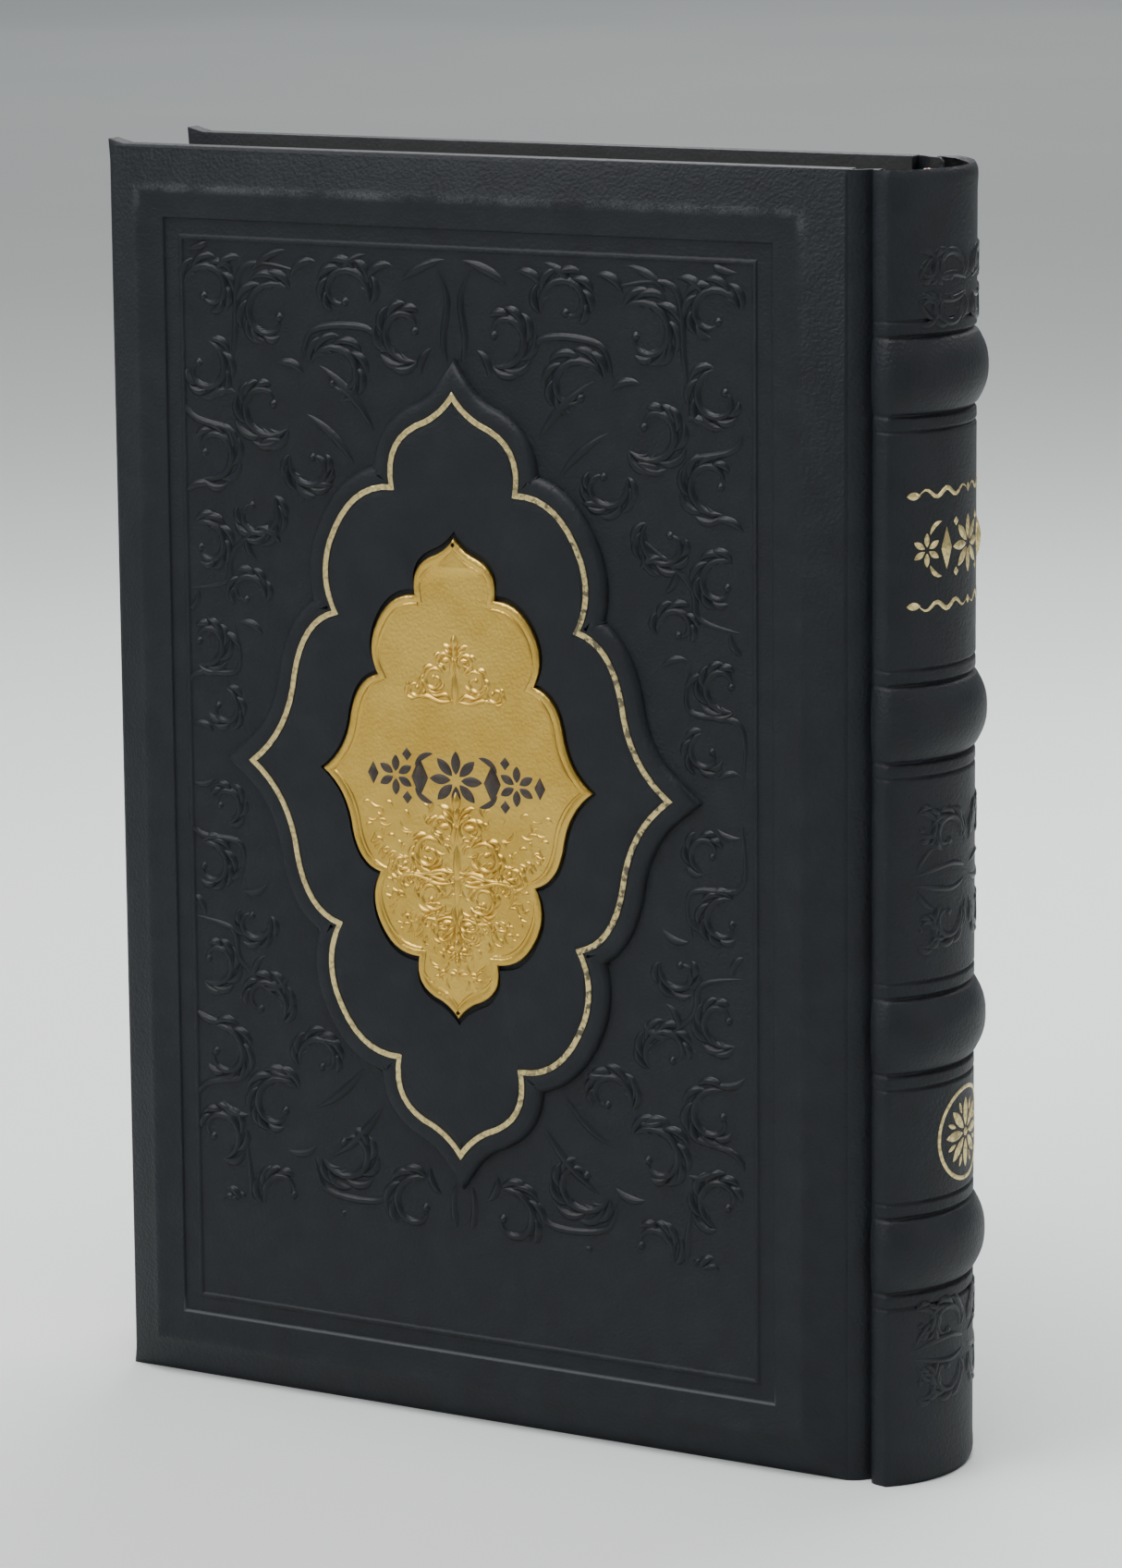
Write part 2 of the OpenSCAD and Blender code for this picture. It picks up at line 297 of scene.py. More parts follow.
def leather_material(name, settings, grain=1.0, gloss=0.0, wear_and_highlights=False):
    """Dyed goatskin with a pebbled grain and fine pores; a cover's leather gets wear and a painted highlight
    on its bevel's ridge, and a painted highlight on the panel's line near the tail.
    """
    s = Shader(name)
    pebble = s.cells(PEBBLE_SCALE, "SMOOTH_F1")
    pores = s.noise(PORE_SCALE, 2.0)
    slow = s.noise(38, 4.0)
    patches = s.noise(240, 3.0)
    tone = s.ramp(slow * 0.25 + patches * 0.75, 0.3, 0.75)
    dye = s.tint(tone, tuple(settings.leather_color), tuple(settings.worn_color))
    # The cover's outside gets wear and painted highlights.
    if wear_and_highlights:
        dye = cover_wear_and_highlights(s, settings, dye, s.ramp(pores + patches, 0.80, 1.35))
    height = pebble * -0.7 + pores * 0.5 + patches * 0.5
    roughness = 0.44 - gloss + slow * 0.06 + pores * 0.08
    return s.finish(Base_Color=dye, Roughness=roughness, Normal=s.bump(height, 0.55 * grain, 0.00022),
                    Specular_IOR_Level=0.23)


def cover_wear_and_highlights(s, settings, dye, thin):
    """Lightens a cover's outside: wear with a painted highlight along the ridge of its bevel, strongest at
    the head, and a painted highlight along the panel's lower line.
    """
    x, y, z = s.axis("X"), s.axis("Y"), s.axis("Z")
    margin = (x - FORE_X).least(JOINT_X - x).least(z.least(TOP_Z - z))
    outside = s.ramp((y - MID_Y).size(), INNER + 1 * MM, INNER + 2 * MM)
    # Painted highlight: the ridge is lightened most at the head, the side that the light from above falls
    # on.
    head = s.ramp(z, TOP_Z - 9 * MM, TOP_Z - 6 * MM) * 0.94 + 0.06
    foot = s.ramp(z, 12 * MM, 9 * MM) * 0.8
    # The rubbed mask is wear along the bevel's ridge together with a painted highlight there.
    rubbed = s.ramp((margin - settings.bevel_width).size(), 0.9 * MM, 0.1 * MM) * thin * head
    # Painted highlight: a light line along the panel's edge near the tail, where the step faces up into the
    # light.
    line = s.ramp((margin - settings.panel_margin).size(), 0.22 * MM, 0.03 * MM) * foot
    return s.tint(line * outside, s.tint(rubbed * outside, dye, RIDGE_WEAR_AND_HIGHLIGHT), PANEL_LINE_HIGHLIGHT)


def gilt_material(name, settings, rubbed=False):
    """Hot-stamped gold foil, broken up by the grain; a rubbed one has lost patches on the spine side."""
    s = Shader(name)
    grain = s.cells(1900)
    dull = s.ramp(grain + s.noise(700, 2.0) * 0.6, 0.7, 1.2)
    foil = s.tint(dull, tuple(settings.gilt_color), DULL_FOIL)
    metallic = 0.85
    if rubbed:
        spine_side = s.ramp(s.axis("X"), MEDALLION_X, MEDALLION_X + 16 * MM)
        lost = s.ramp(s.noise(1100, 2.0), 0.50, 0.60) * spine_side * 0.85
        foil = s.tint(lost, foil, BARE_LEATHER)
        metallic = (1 - lost) * 0.85
    return s.finish(Base_Color=foil, Metallic=metallic, Roughness=0.34 + dull * 0.25,
                    Normal=s.bump(grain, 0.35, 0.00012))


def plaque_material(settings, name, stipple):
    """Gold-plated metal, either stippled all over or plainly polished."""
    s = Shader(name)
    dots = s.cells(2100)
    drift = s.noise(90, 3.0)
    plate = s.tint(s.ramp(drift, 0.35, 0.7), tuple(settings.plaque_color), BRIGHT_PLATE)
    height = dots * stipple + s.noise(2600, 2.0) * 0.3
    return s.finish(Base_Color=plate, Metallic=1.0, Roughness=0.30 + drift * 0.12,
                    Normal=s.bump(height, 0.32, 0.00012))


def enamel_material():
    """Dark enamel sunk into the plaque."""
    s = Shader("dark enamel")
    mottle = s.noise(900, 3.0)
    tone = s.tint(s.ramp(mottle, 0.4, 0.7), (0.018, 0.011, 0.008), (0.040, 0.024, 0.015))
    return s.finish(Base_Color=tone, Roughness=0.35 + mottle * 0.2, Normal=s.bump(mottle, 0.2, 0.00005))


def shaded(tone, share):
    """A darker shade of a colour."""
    return tuple(channel * share for channel in tone)


def edge_material(cream):
    """Cut edges of the turning leaves; their lines read the depth that is stored on each piece."""
    s = Shader("leaf edges")
    fibre = s.noise(1500, 4.0, 0.6)
    across = s.node("ShaderNodeAttribute", {"attribute_name": "across"}, {}, "Fac")
    lines = (across * LEAF_LINES).sin() * 0.5 + 0.5
    tone = s.tint(s.ramp(lines * 0.6 + fibre * 0.6, 0.2, 0.95), shaded(cream, 0.72), tuple(cream))
    return s.finish(Base_Color=tone, Roughness=0.82 + fibre * 0.1,
                    Normal=s.bump(lines * 0.7 + fibre * 0.3, 0.35, 0.00008))


def paper_material(cream):
    """Sewn sections: cut edges show the single leaves as fine lines, and the outer faces stay plain."""
    s = Shader("cream leaves")
    fibre = s.noise(1500, 4.0, 0.6)
    waver = s.noise(60, 2.0)
    across = s.axis("Y")
    facing = s.axis("Y", s.node("ShaderNodeTexCoord", {}, {}, "Normal"))
    cut = s.ramp(facing.size(), 0.9, 0.6)
    lines = ((across + waver * 0.0003) * LEAF_LINES).sin() * 0.5 + 0.5
    faint = s.noise(1.0, 1.0, 0.5, s.stretched(30, 2400, 30))
    shade = s.ramp(lines * 0.45 + faint * 0.75, 0.2, 0.95) * cut + (fibre * 0.2 + 0.8) * (1 - cut)
    tone = s.tint(shade, shaded(cream, 0.72), tuple(cream))
    return s.finish(Base_Color=tone, Roughness=0.82 + fibre * 0.1,
                    Normal=s.bump(lines * 0.7 * cut + fibre * 0.3, 0.35, 0.00008))


def page_material(cream):
    """Blank face of a leaf: fine fibres and a faint cloudiness."""
    s = Shader("blank page")
    fibre = s.noise(1500, 4.0, 0.6)
    cloud = s.noise(45, 3.0)
    tone = s.tint(s.ramp(fibre * 0.5 + cloud * 0.5, 0.3, 0.75), shaded(cream, 0.9), tuple(cream))
    return s.finish(Base_Color=tone, Roughness=0.84 + fibre * 0.08, Normal=s.bump(fibre, 0.2, 0.00005))


def endpaper_material():
    """Laid endpaper: chain lines across a soft, speckled ground."""
    s = Shader("laid endpaper")
    laid = (s.axis("Z") * LAID_LINES).sin() * 0.5 + 0.5
    fibre = s.noise(900, 5.0, 0.65)
    tone = s.tint(s.ramp(fibre, 0.35, 0.7), (0.66, 0.58, 0.44), (0.77, 0.70, 0.56))
    return s.finish(Base_Color=tone, Roughness=0.8 + fibre * 0.1,
                    Normal=s.bump(laid * 0.4 + fibre, 0.25, 0.00006))


def board_material():
    """Grey board pressed from fibres."""
    s = Shader("grey board")
    fibre = s.noise(1.0, 5.0, 0.7, s.stretched(400, 1800, 400))
    tone = s.tint(s.ramp(fibre, 0.3, 0.7), (0.23, 0.18, 0.12), (0.38, 0.31, 0.22))
    return s.finish(Base_Color=tone, Roughness=0.9, Normal=s.bump(fibre, 0.5, 0.0001))


def linen_material():
    """Open linen: two crossing sets of threads."""
    s = Shader("open linen")
    weave = (s.axis("Y") * WEAVE_LINES).sin() * (s.axis("Z") * WEAVE_LINES).sin() * 0.5 + 0.5
    tone = s.tint(s.ramp(weave, 0.2, 0.8), (0.34, 0.30, 0.22), (0.66, 0.62, 0.50))
    return s.finish(Base_Color=tone, Roughness=0.75 + weave * 0.1, Normal=s.bump(weave, 0.5, 0.0001))


def silk_material(dyed):
    """Silk thread in two colours, wound over a core."""
    s = Shader("head band silk")
    y = s.axis("Y")
    stripe = s.ramp((y * SILK_LINES).sin(), -0.2, 0.2)
    tone = s.tint(stripe, tuple(dyed), (0.68, 0.58, 0.42))
    twist = s.noise(3000, 2.0)
    height = (y * (2 * SILK_LINES)).sin() + twist
    return s.finish(Base_Color=tone, Roughness=0.42 + twist * 0.15, Normal=s.bump(height, 0.5, 0.0001))


def backdrop_material():
    """Pale matt paper roll."""
    s = Shader("backdrop paper")
    cloud = s.noise(2.0, 2.0)
    tone = s.tint(s.ramp(cloud, 0.3, 0.7), (0.56, 0.585, 0.575), (0.60, 0.62, 0.61))
    return s.finish(Base_Color=tone, Roughness=0.85 + cloud * 0.05)


MATERIALS = {}


def material(key):
    """One material for each key, made when it is first asked for."""
    if key not in MATERIALS:
        scene = bpy.context.scene
        cover, gold, cream = scene.pb_cover, scene.pb_medallion, scene.pb_pages.paper_color
        makers = {
            "cover": lambda: leather_material("cover leather", cover, wear_and_highlights=True),
            "leather": lambda: leather_material("dyed leather", cover),
            "tooled": lambda: leather_material("burnished leather", cover, 0.35, gloss=0.14),
            "field": lambda: leather_material("smooth field leather", cover, 0.7),
            "gilt": lambda: gilt_material("gold foil", gold),
            "line": lambda: gilt_material("rubbed gold foil", gold, rubbed=True),
            "plaque": lambda: plaque_material(gold, "stippled gold plate", 1.0),
            "relief": lambda: plaque_material(gold, "polished gold relief", 0.15),
            "enamel": enamel_material,
            "paper": lambda: paper_material(cream),
            "page": lambda: page_material(cream),
            "edges": lambda: edge_material(cream),
            "endpaper": endpaper_material,
            "board": board_material,
            "linen": linen_material,
            "silk": lambda: silk_material(scene.pb_spine.silk_color),
            "backdrop": backdrop_material,
        }
        MATERIALS[key] = makers[key]()
    return MATERIALS[key]


# ---------------------------------------------------------------- modelling helpers

def deselect():
    if bpy.context.object and bpy.context.object.mode != "OBJECT":
        bpy.ops.object.mode_set(mode="OBJECT")
    bpy.ops.object.select_all(action="DESELECT")


def take(piece):
    deselect()
    piece.hide_set(False)
    piece.select_set(True)
    bpy.context.view_layer.objects.active = piece


def link_mesh(name, verts, faces):
    mesh = bpy.data.meshes.new(name)
    mesh.from_pydata([tuple(v) for v in verts], [], faces)
    mesh.update()
    piece = bpy.data.objects.new(name, mesh)
    bpy.context.scene.collection.objects.link(piece)
    return piece


def grid_faces(rows, across, wrap=False):
    """Quads between rows of points; where they wrap, each row is a closed ring."""
    faces = []
    for r in range(rows - 1):
        for c in range(across if wrap else across - 1):
            i, j = r * across + c, r * across + (c + 1) % across
            faces.append((i, j, j + across, i + across))
    return faces


def add_block(name, lo, hi):
    """A box primitive between two corners, with its place in its mesh."""
    deselect()
    lo, hi = Vector(lo), Vector(hi)
    bpy.ops.mesh.primitive_cube_add(size=1, location=(lo + hi) / 2)
    piece = bpy.context.object
    piece.name = piece.data.name = name
    piece.scale = hi - lo
    bpy.ops.object.transform_apply(location=True, rotation=True, scale=True)
    return piece


def pick_faces(piece, test):
    """Selects, in edit mode, only the faces whose centre and normal pass the test."""
    take(piece)
    bpy.ops.object.mode_set(mode="EDIT")
    bpy.ops.mesh.select_mode(type="FACE")
    mesh = bmesh.from_edit_mesh(piece.data)
    for face in mesh.faces:
        face.select_set(test(face.calc_center_median(), face.normal))
    mesh.select_flush_mode()
    bmesh.update_edit_mesh(piece.data)


def bisect(piece, place, normal, test=lambda centre, facing: True, grow=False):
    """Cuts a row of edges through the faces that pass the test, and on request through their neighbours."""
    pick_faces(piece, test)
    if grow:
        bpy.ops.mesh.select_more()
    bpy.ops.mesh.bisect(plane_co=place, plane_no=normal)
    bpy.ops.object.mode_set(mode="OBJECT")


def use_modifier(piece, kind, **settings):
    take(piece)
    modifier = piece.modifiers.new(kind.lower(), kind)
    for key, value in settings.items():
        setattr(modifier, key, value)
    bpy.ops.object.modifier_apply(modifier=modifier.name)
    return piece


def smooth(piece, degrees=45):
    take(piece)
    bpy.ops.object.shade_smooth_by_angle(angle=math.radians(degrees))
    return piece


def mend(piece, merge=0.00001):
    """Merges doubles and turns the faces outwards."""
    take(piece)
    bpy.ops.object.mode_set(mode="EDIT")
    bpy.ops.mesh.select_all(action="SELECT")
    bpy.ops.mesh.remove_doubles(threshold=merge)
    bpy.ops.mesh.normals_make_consistent(inside=False)
    bpy.ops.object.mode_set(mode="OBJECT")
    return piece


def dress(piece, key, body=None, replaces=()):
    """Gives a finished piece its material, the body it rides on and the nodes it stands for."""
    piece.data.materials.clear()
    piece.data.materials.append(material(key))
    if body:
        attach(piece, body)
    if replaces:
        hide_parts(*replaces)
    return piece


def finish_node(key, *nodes):
    """Gives carried-over CAD nodes their material."""
    for name in nodes:
        slots = frame["nodes"][name].data.materials
        slots.clear()
        slots.append(material(key))


# ---------------------------------------------------------------- the lobed outline

def curve_points(p, q, r, steps=8):
    """A quadratic curve from p to r with its handle at q, without its last point."""
    points = []
    for i in range(steps):
        t = i / steps
        points.append(tuple((1 - t) ** 2 * a + 2 * t * (1 - t) * b + t * t * c for a, b, c in zip(p, q, r)))
    return points


QUARTER_ENDS = [
    ((0, 1), (0.05, 0.955), (0.13, 0.93)),
    ((0.13, 0.93), (0.335, 0.885), (0.293, 0.755)),
    ((0.293, 0.755), (0.50, 0.76), (0.60, 0.60)),
    ((0.60, 0.60), (0.655, 0.50), (0.577, 0.415)),
    ((0.577, 0.415), (0.74, 0.39), (0.785, 0.24)),
    ((0.785, 0.24), (0.815, 0.085), (1, 0)),
]
QUARTER = [point for ends in QUARTER_ENDS for point in curve_points(*ends)]


def lobed(a, b):
    """The medallion's outline: three lobes in each quarter and a pointed tip on each side."""
    right_top = [(a * x, b * y) for x, y in QUARTER]
    right_low = [(a, 0.0)] + [(a * x, -b * y) for x, y in reversed(QUARTER[1:])]
    left_low = [(0.0, -b)] + [(-a * x, -b * y) for x, y in QUARTER[1:]]
    left_top = [(-a, 0.0)] + [(-a * x, b * y) for x, y in reversed(QUARTER[1:])]
    return right_top + right_low + left_low + left_top


def spread(a, b, distance):
    """The lobed outline moved outwards by an even distance, or inwards where it is negative."""
    base = lobed(a, b)
    moved = []
    count = len(base)
    for i, (x, z) in enumerate(base):
        before, after = base[i - 1], base[(i + 1) % count]
        first = Vector((x - before[0], z - before[1])).normalized()
        second = Vector((after[0] - x, after[1] - z)).normalized()
        turn = (first + second).normalized()
        out = Vector((-turn.y, turn.x))
        stretch = 1 / max(0.55, out.dot(Vector((-first.y, first.x))))
        moved.append((x + out.x * distance * stretch, z + out.y * distance * stretch))
    return moved


def inside(outline, x, z):
    found = False
    for (x1, z1), (x2, z2) in zip(outline, outline[1:] + outline[:1]):
        if (z1 > z) != (z2 > z) and x < (x2 - x1) * (z - z1) / (z2 - z1) + x1:
            found = not found
    return found


def stacked_plate(name, rings, close=True):
    """A closed plate built from outlines of equal point count, each at its height over the middle plane."""
    verts = []
    for outline, height in rings:
        verts += [(MEDALLION_X + x, MID_Y - height, MEDALLION_Z + z) for x, z in outline]
    count = len(rings[0][0])
    faces = grid_faces(len(rings), count, wrap=True)
    if close:
        faces.append(tuple(range(count)))
        faces.append(tuple(range((len(rings) - 1) * count, len(rings) * count)))
    else:
        last = (len(rings) - 1) * count
        faces += [(last + i, last + (i + 1) % count, (i + 1) % count, i) for i in range(count)]
    return mend(link_mesh(name, verts, faces))


# ---------------------------------------------------------------- scroll strokes

def stroke_along(points, width, shape):
    """Adds a width to each point, by a shape over the stroke's length from 0 to 1."""
    last = max(1, len(points) - 1)
    return [(x, y, width * shape(i / last)) for i, (x, y) in enumerate(points)]


def tapered(t):
    return max(0.05, math.sin(math.pi * t) ** 0.75)


def volute(cx, cy, r, start, turns, hand, width):
    """A hook that winds in from its outer end to a round bud."""
    points = []
    count = int(16 * turns) + 3
    for i in range(count + 1):
        t = i / count
        reach = r * (1 - 0.72 * t ** 1.15)
        angle = math.radians(start) + hand * turns * math.tau * t
        points.append((cx + reach * math.cos(angle), cy + reach * math.sin(angle)))
    bud = width * 1.05
    end = points[-1]
    dot = [(end[0] + (k - 2) * bud * 0.24, end[1], bud * w) for k, w in enumerate((0.1, 0.8, 1.0, 0.8, 0.1))]
    hook = stroke_along(points, width, lambda t: 0.35 + 0.65 * math.sin(math.pi * min(1, 0.1 + t)) ** 0.6)
    return [hook, dot], points


def leaf(x, y, angle, length, curl, width):
    """A crescent leaf that curls as it goes."""
    points = []
    heading = math.radians(angle)
    steps = 8
    for i in range(steps + 1):
        points.append((x, y))
        heading += math.radians(curl) / steps
        x += math.cos(heading) * length / steps
        y += math.sin(heading) * length / steps
    return stroke_along(points, width, tapered)


def acanthus(cx, cy, r, start, turns, hand, width, leaves=7):
    """A hook clothed in overlapping lobes that curl away from it, each with a fine vein beside it."""
    strokes, spine = volute(cx, cy, r, start, turns, hand, width * 0.9)
    reach = len(spine) * 0.74
    for k in range(leaves):
        i = min(len(spine) - 2, int(reach * k / leaves))
        x, y = spine[i]
        tangent = math.degrees(math.atan2(spine[i + 1][1] - y, spine[i + 1][0] - x))
        size = r * (1.35 - 0.09 * abs(k - 2) - 0.05 * k)
        strokes.append(leaf(x, y, tangent - hand * 62, size, hand * 112, width * 0.95))
        strokes.append(leaf(x, y, tangent - hand * 24, size * 0.62, hand * 100, width * 0.5))
    return strokes


def stem(points, width):
    """A smooth stalk through a few points."""
    fine = []
    padded = [points[0]] + points + [points[-1]]
    for i in range(1, len(padded) - 2):
        p0, p1, p2, p3 = padded[i - 1:i + 3]
        for k in range(7):
            t = k / 7
            fine.append(tuple(0.5 * (2 * b + (c - a) * t + (2 * a - 5 * b + 4 * c - d) * t * t
                                     + (3 * b - a - 3 * c + d) * t ** 3)
                              for a, b, c, d in zip(p0, p1, p2, p3)))
    fine.append(points[-1])
    return stroke_along(fine, width, tapered)


def mirrored(strokes, x=False, y=False):
    return [[(-px if x else px, -py if y else py, w) for px, py, w in stroke] for stroke in strokes]


def clipped(strokes, allowed):
    """Keeps only the runs of points that lie where strokes are allowed."""
    kept = []
    for stroke in strokes:
        run = []
        for point in stroke + [None]:
            if point and allowed(point[0], point[1]):
                run.append(point)
                continue
            if len(run) >= 4:
                kept.append([(*run[0][:2], 0.05)] + run[1:-1] + [(*run[-1][:2], 0.05)])
            run = []
    return kept


def stroke_profile(height):
    """The cross section of a tooled stroke, one unit wide: a soft bell on a sunken foot."""
    curve = bpy.data.curves.new("stroke profile", "CURVE")
    curve.dimensions = "2D"
    xs = [-0.5, -0.36, -0.22, -0.08, 0.08, 0.22, 0.36, 0.5]
    points = [(x, height * math.cos(math.pi * x) ** 1.4) for x in xs[1:-1]]
    points = [(-0.5, -0.02)] + points + [(0.5, -0.02), (0.5, -0.12), (-0.5, -0.12)]
    spline = curve.splines.new("POLY")
    spline.points.add(len(points) - 1)
    for knot, (x, y) in zip(spline.points, points):
        knot.co = (x, y, 0, 1)
    spline.use_cyclic_u = True
    profile = bpy.data.objects.new("stroke profile", curve)
    bpy.context.scene.collection.objects.link(profile)
    return profile


def stroke_relief(name, strokes, height):
    """Sweeps the profile along every stroke, flat in XY with its height in Z, and makes one mesh of it."""
    profile = stroke_profile(height)
    curve = bpy.data.curves.new(name, "CURVE")
    curve.dimensions = "3D"
    curve.twist_mode = "Z_UP"
    curve.bevel_mode = "OBJECT"
    curve.bevel_object = profile
    curve.use_fill_caps = True
    for stroke in strokes:
        spline = curve.splines.new("POLY")
        spline.points.add(len(stroke) - 1)
        for knot, (x, y, width) in zip(spline.points, stroke):
            knot.co = (x * MM, y * MM, 0, 1)
            knot.radius = width * MM
    piece = bpy.data.objects.new(name, curve)
    bpy.context.scene.collection.objects.link(piece)
    take(piece)
    bpy.ops.object.convert(target="MESH")
    piece = bpy.context.object
    bpy.data.objects.remove(profile)
    return smooth(piece, 60)


def stand_on_front(piece, height):
    """Turns a flat relief up onto the front cover, its foot at a height over the middle plane."""
    piece.data.transform(Matrix.Translation((MEDALLION_X, MID_Y - height, MEDALLION_Z))
                         @ Matrix.Rotation(math.pi / 2, 4, "X"))
    return piece


# ---------------------------------------------------------------- covers

# Steps up the padded bevel: share of its width, share of its rise.
BEVEL_STEPS = ((0.06, 0.08), (0.10, 0.12), (0.30, 0.30), (0.30, 0.28),
               (0.12, 0.14), (0.06, 0.07), (0.06, 0.02))
# Steps in over the plateau: share of its width, depth in millimetres.
PLATEAU_STEPS = ((0.1, 0.03), (0.25, 0.15), (0.35, 0.12), (0.25, 0.0), (0.05, 0.02))
PLATEAU_FALL = sum(depth for share, depth in PLATEAU_STEPS) * MM
GROOVE_WIDTH = 0.45 * MM
GROOVE_GAP = 1.6 * MM
# The second groove of the double line: share of the groove's width, height in millimetres.
GROOVE_STEPS = ((0.35, 0.24), (0.5, 0.05), (0.5, -0.05), (0.35, -0.24))


def padded_cover(name, facing, cover):
    """A cover's leather: box, padded bevel, rim, sunken panel with a double line, and turned-in edges."""
    inner = MID_Y + facing * INNER
    outer = MID_Y + facing * (INNER + cover.edge_thickness)
    piece = add_block(name, (FORE_X, min(inner, outer), 0), (JOINT_X, max(inner, outer), TOP_Z))
    rise = PLATEAU - INNER - cover.edge_thickness
    pick_faces(piece, lambda c, n: n.y * facing > 0.9)
    for width, depth in BEVEL_STEPS:
        bpy.ops.mesh.inset(thickness=width * cover.bevel_width, depth=depth * rise)
    rim = cover.panel_margin - cover.bevel_width
    steps = [(rim * share, -depth * MM) for share, depth in PLATEAU_STEPS]
    steps += [(GROOVE_WIDTH * 0.35, PLATEAU_FALL - cover.panel_sink), (GROOVE_WIDTH, 0), (GROOVE_GAP, 0)]
    steps += [(GROOVE_WIDTH * share, height * MM) for share, height in GROOVE_STEPS]
    for width, depth in steps:
        bpy.ops.mesh.inset(thickness=width, depth=depth)
    bpy.ops.object.mode_set(mode="OBJECT")
    pick_faces(piece, lambda c, n: n.y * facing < -0.9)
    bpy.ops.mesh.inset(thickness=cover.turn_in, depth=0)
    bpy.ops.mesh.inset(thickness=0.05 * MM, depth=-0.25 * MM)
    bpy.ops.object.mode_set(mode="OBJECT")
    for near in (1.1 * MM, 2.3 * MM):
        for place, normal in (((FORE_X + near, 0, 0), (1, 0, 0)), ((0, 0, near), (0, 0, 1)),
                              ((0, 0, TOP_Z - near), (0, 0, 1))):
            bisect(piece, place, normal, lambda c, n: abs(n.y) < 0.5, grow=True)
    use_modifier(piece, "BEVEL", width=0.8 * MM, segments=4,
                 limit_method="ANGLE", angle_limit=math.radians(50))
    raise_corners(piece, cover.edge_thickness)
    mend(piece, 0.00002)
    return smooth(piece, 50)


PEAK_REACH = 2.2 * MM
PEAK_OUT = 0.22 * MM
PEAK_UP = 0.65 * MM


def raise_corners(piece, edge_thickness):
    """Pulls the leather at the fore-edge corners out into the small peaks that folding leaves."""
    for vertex in piece.data.vertices:
        for corner_z in (0, TOP_Z):
            away = Vector((vertex.co.x - FORE_X, 0, vertex.co.z - corner_z)).length
            pull = 1 - away / PEAK_REACH
            if pull > 0 and abs(vertex.co.y - MID_Y) < INNER + edge_thickness + 0.1 * MM:
                vertex.co.x -= PEAK_OUT * pull
                if corner_z:
                    vertex.co.z += PEAK_UP * pull


class PRAYERBOOK_OT_covers(bpy.types.Operator):
    """Cover both boards in leather, with padded bevels and sunken panels"""
    bl_idname = "prayerbook.covers"
    bl_label = "Cover leathers"

    def execute(self, context):
        cover = context.scene.pb_cover
        for side, facing in (("front", -1), ("back", 1)):
            piece = padded_cover(side + "_cover_leather", facing, cover)
            dress(piece, "cover", side + "_cover", [side + "_leather"])
            finish_node("board", side + "_board", side + "_bevel_board")
            finish_node("endpaper", side + "_pastedown")
        finish_node("board", "spine_card")
        return {"FINISHED"}


# Depth of the plaque's seat under the medallion's field
SEAT_DEPTH = 0.75 * MM


class PRAYERBOOK_OT_field(bpy.types.Operator):
    """Raise the medallion's field over the panel and sink the plaque's seat into it"""
    bl_idname = "prayerbook.field"
    bl_label = "Medallion field"

    def execute(self, context):
        settings = context.scene.pb_medallion
        ground = PLATEAU - context.scene.pb_cover.panel_sink
        edge = settings.margin
        gap = settings.plaque_gap
        rings = [(spread(LINE_A, LINE_B, edge + 0.3 * MM), ground - 0.6 * MM),
                 (spread(LINE_A, LINE_B, edge + 0.3 * MM), ground + 0.02 * MM),
                 (spread(LINE_A, LINE_B, edge + 0.1 * MM), ground + 0.40 * (FIELD - ground)),
                 (spread(LINE_A, LINE_B, edge - 0.12 * MM), ground + 0.80 * (FIELD - ground)),
                 (spread(LINE_A, LINE_B, edge - 0.5 * MM), FIELD),
                 (spread(LINE_A, LINE_B, 0.75 * MM), FIELD - 0.02 * MM),
                 (spread(LINE_A, LINE_B, 0.5 * MM), FIELD - 0.12 * MM),
                 (spread(LINE_A, LINE_B, -0.5 * MM), FIELD - 0.12 * MM),
                 (spread(LINE_A, LINE_B, -0.8 * MM), FIELD - 0.02 * MM)]
        for share in (0.1, 0.3, 0.5, 0.7, 0.85, 0.95):
            a = LINE_A + (PLAQUE_A - LINE_A) * share
            b = LINE_B + (PLAQUE_B - LINE_B) * share
            rings.append((lobed(a, b), FIELD - 0.28 * MM * share ** 3))
        rings += [(spread(PLAQUE_A, PLAQUE_B, gap + 0.45 * MM), FIELD - 0.32 * MM),
                  (spread(PLAQUE_A, PLAQUE_B, gap + 0.15 * MM), FIELD - 0.42 * MM),
                  (spread(PLAQUE_A, PLAQUE_B, gap), FIELD - 0.55 * MM),
                  (spread(PLAQUE_A, PLAQUE_B, gap - 0.05 * MM), FIELD - SEAT_DEPTH)]
        piece = smooth(stacked_plate("medallion_field", rings), 50)
        dress(piece, "field", "front_cover")
        return {"FINISHED"}


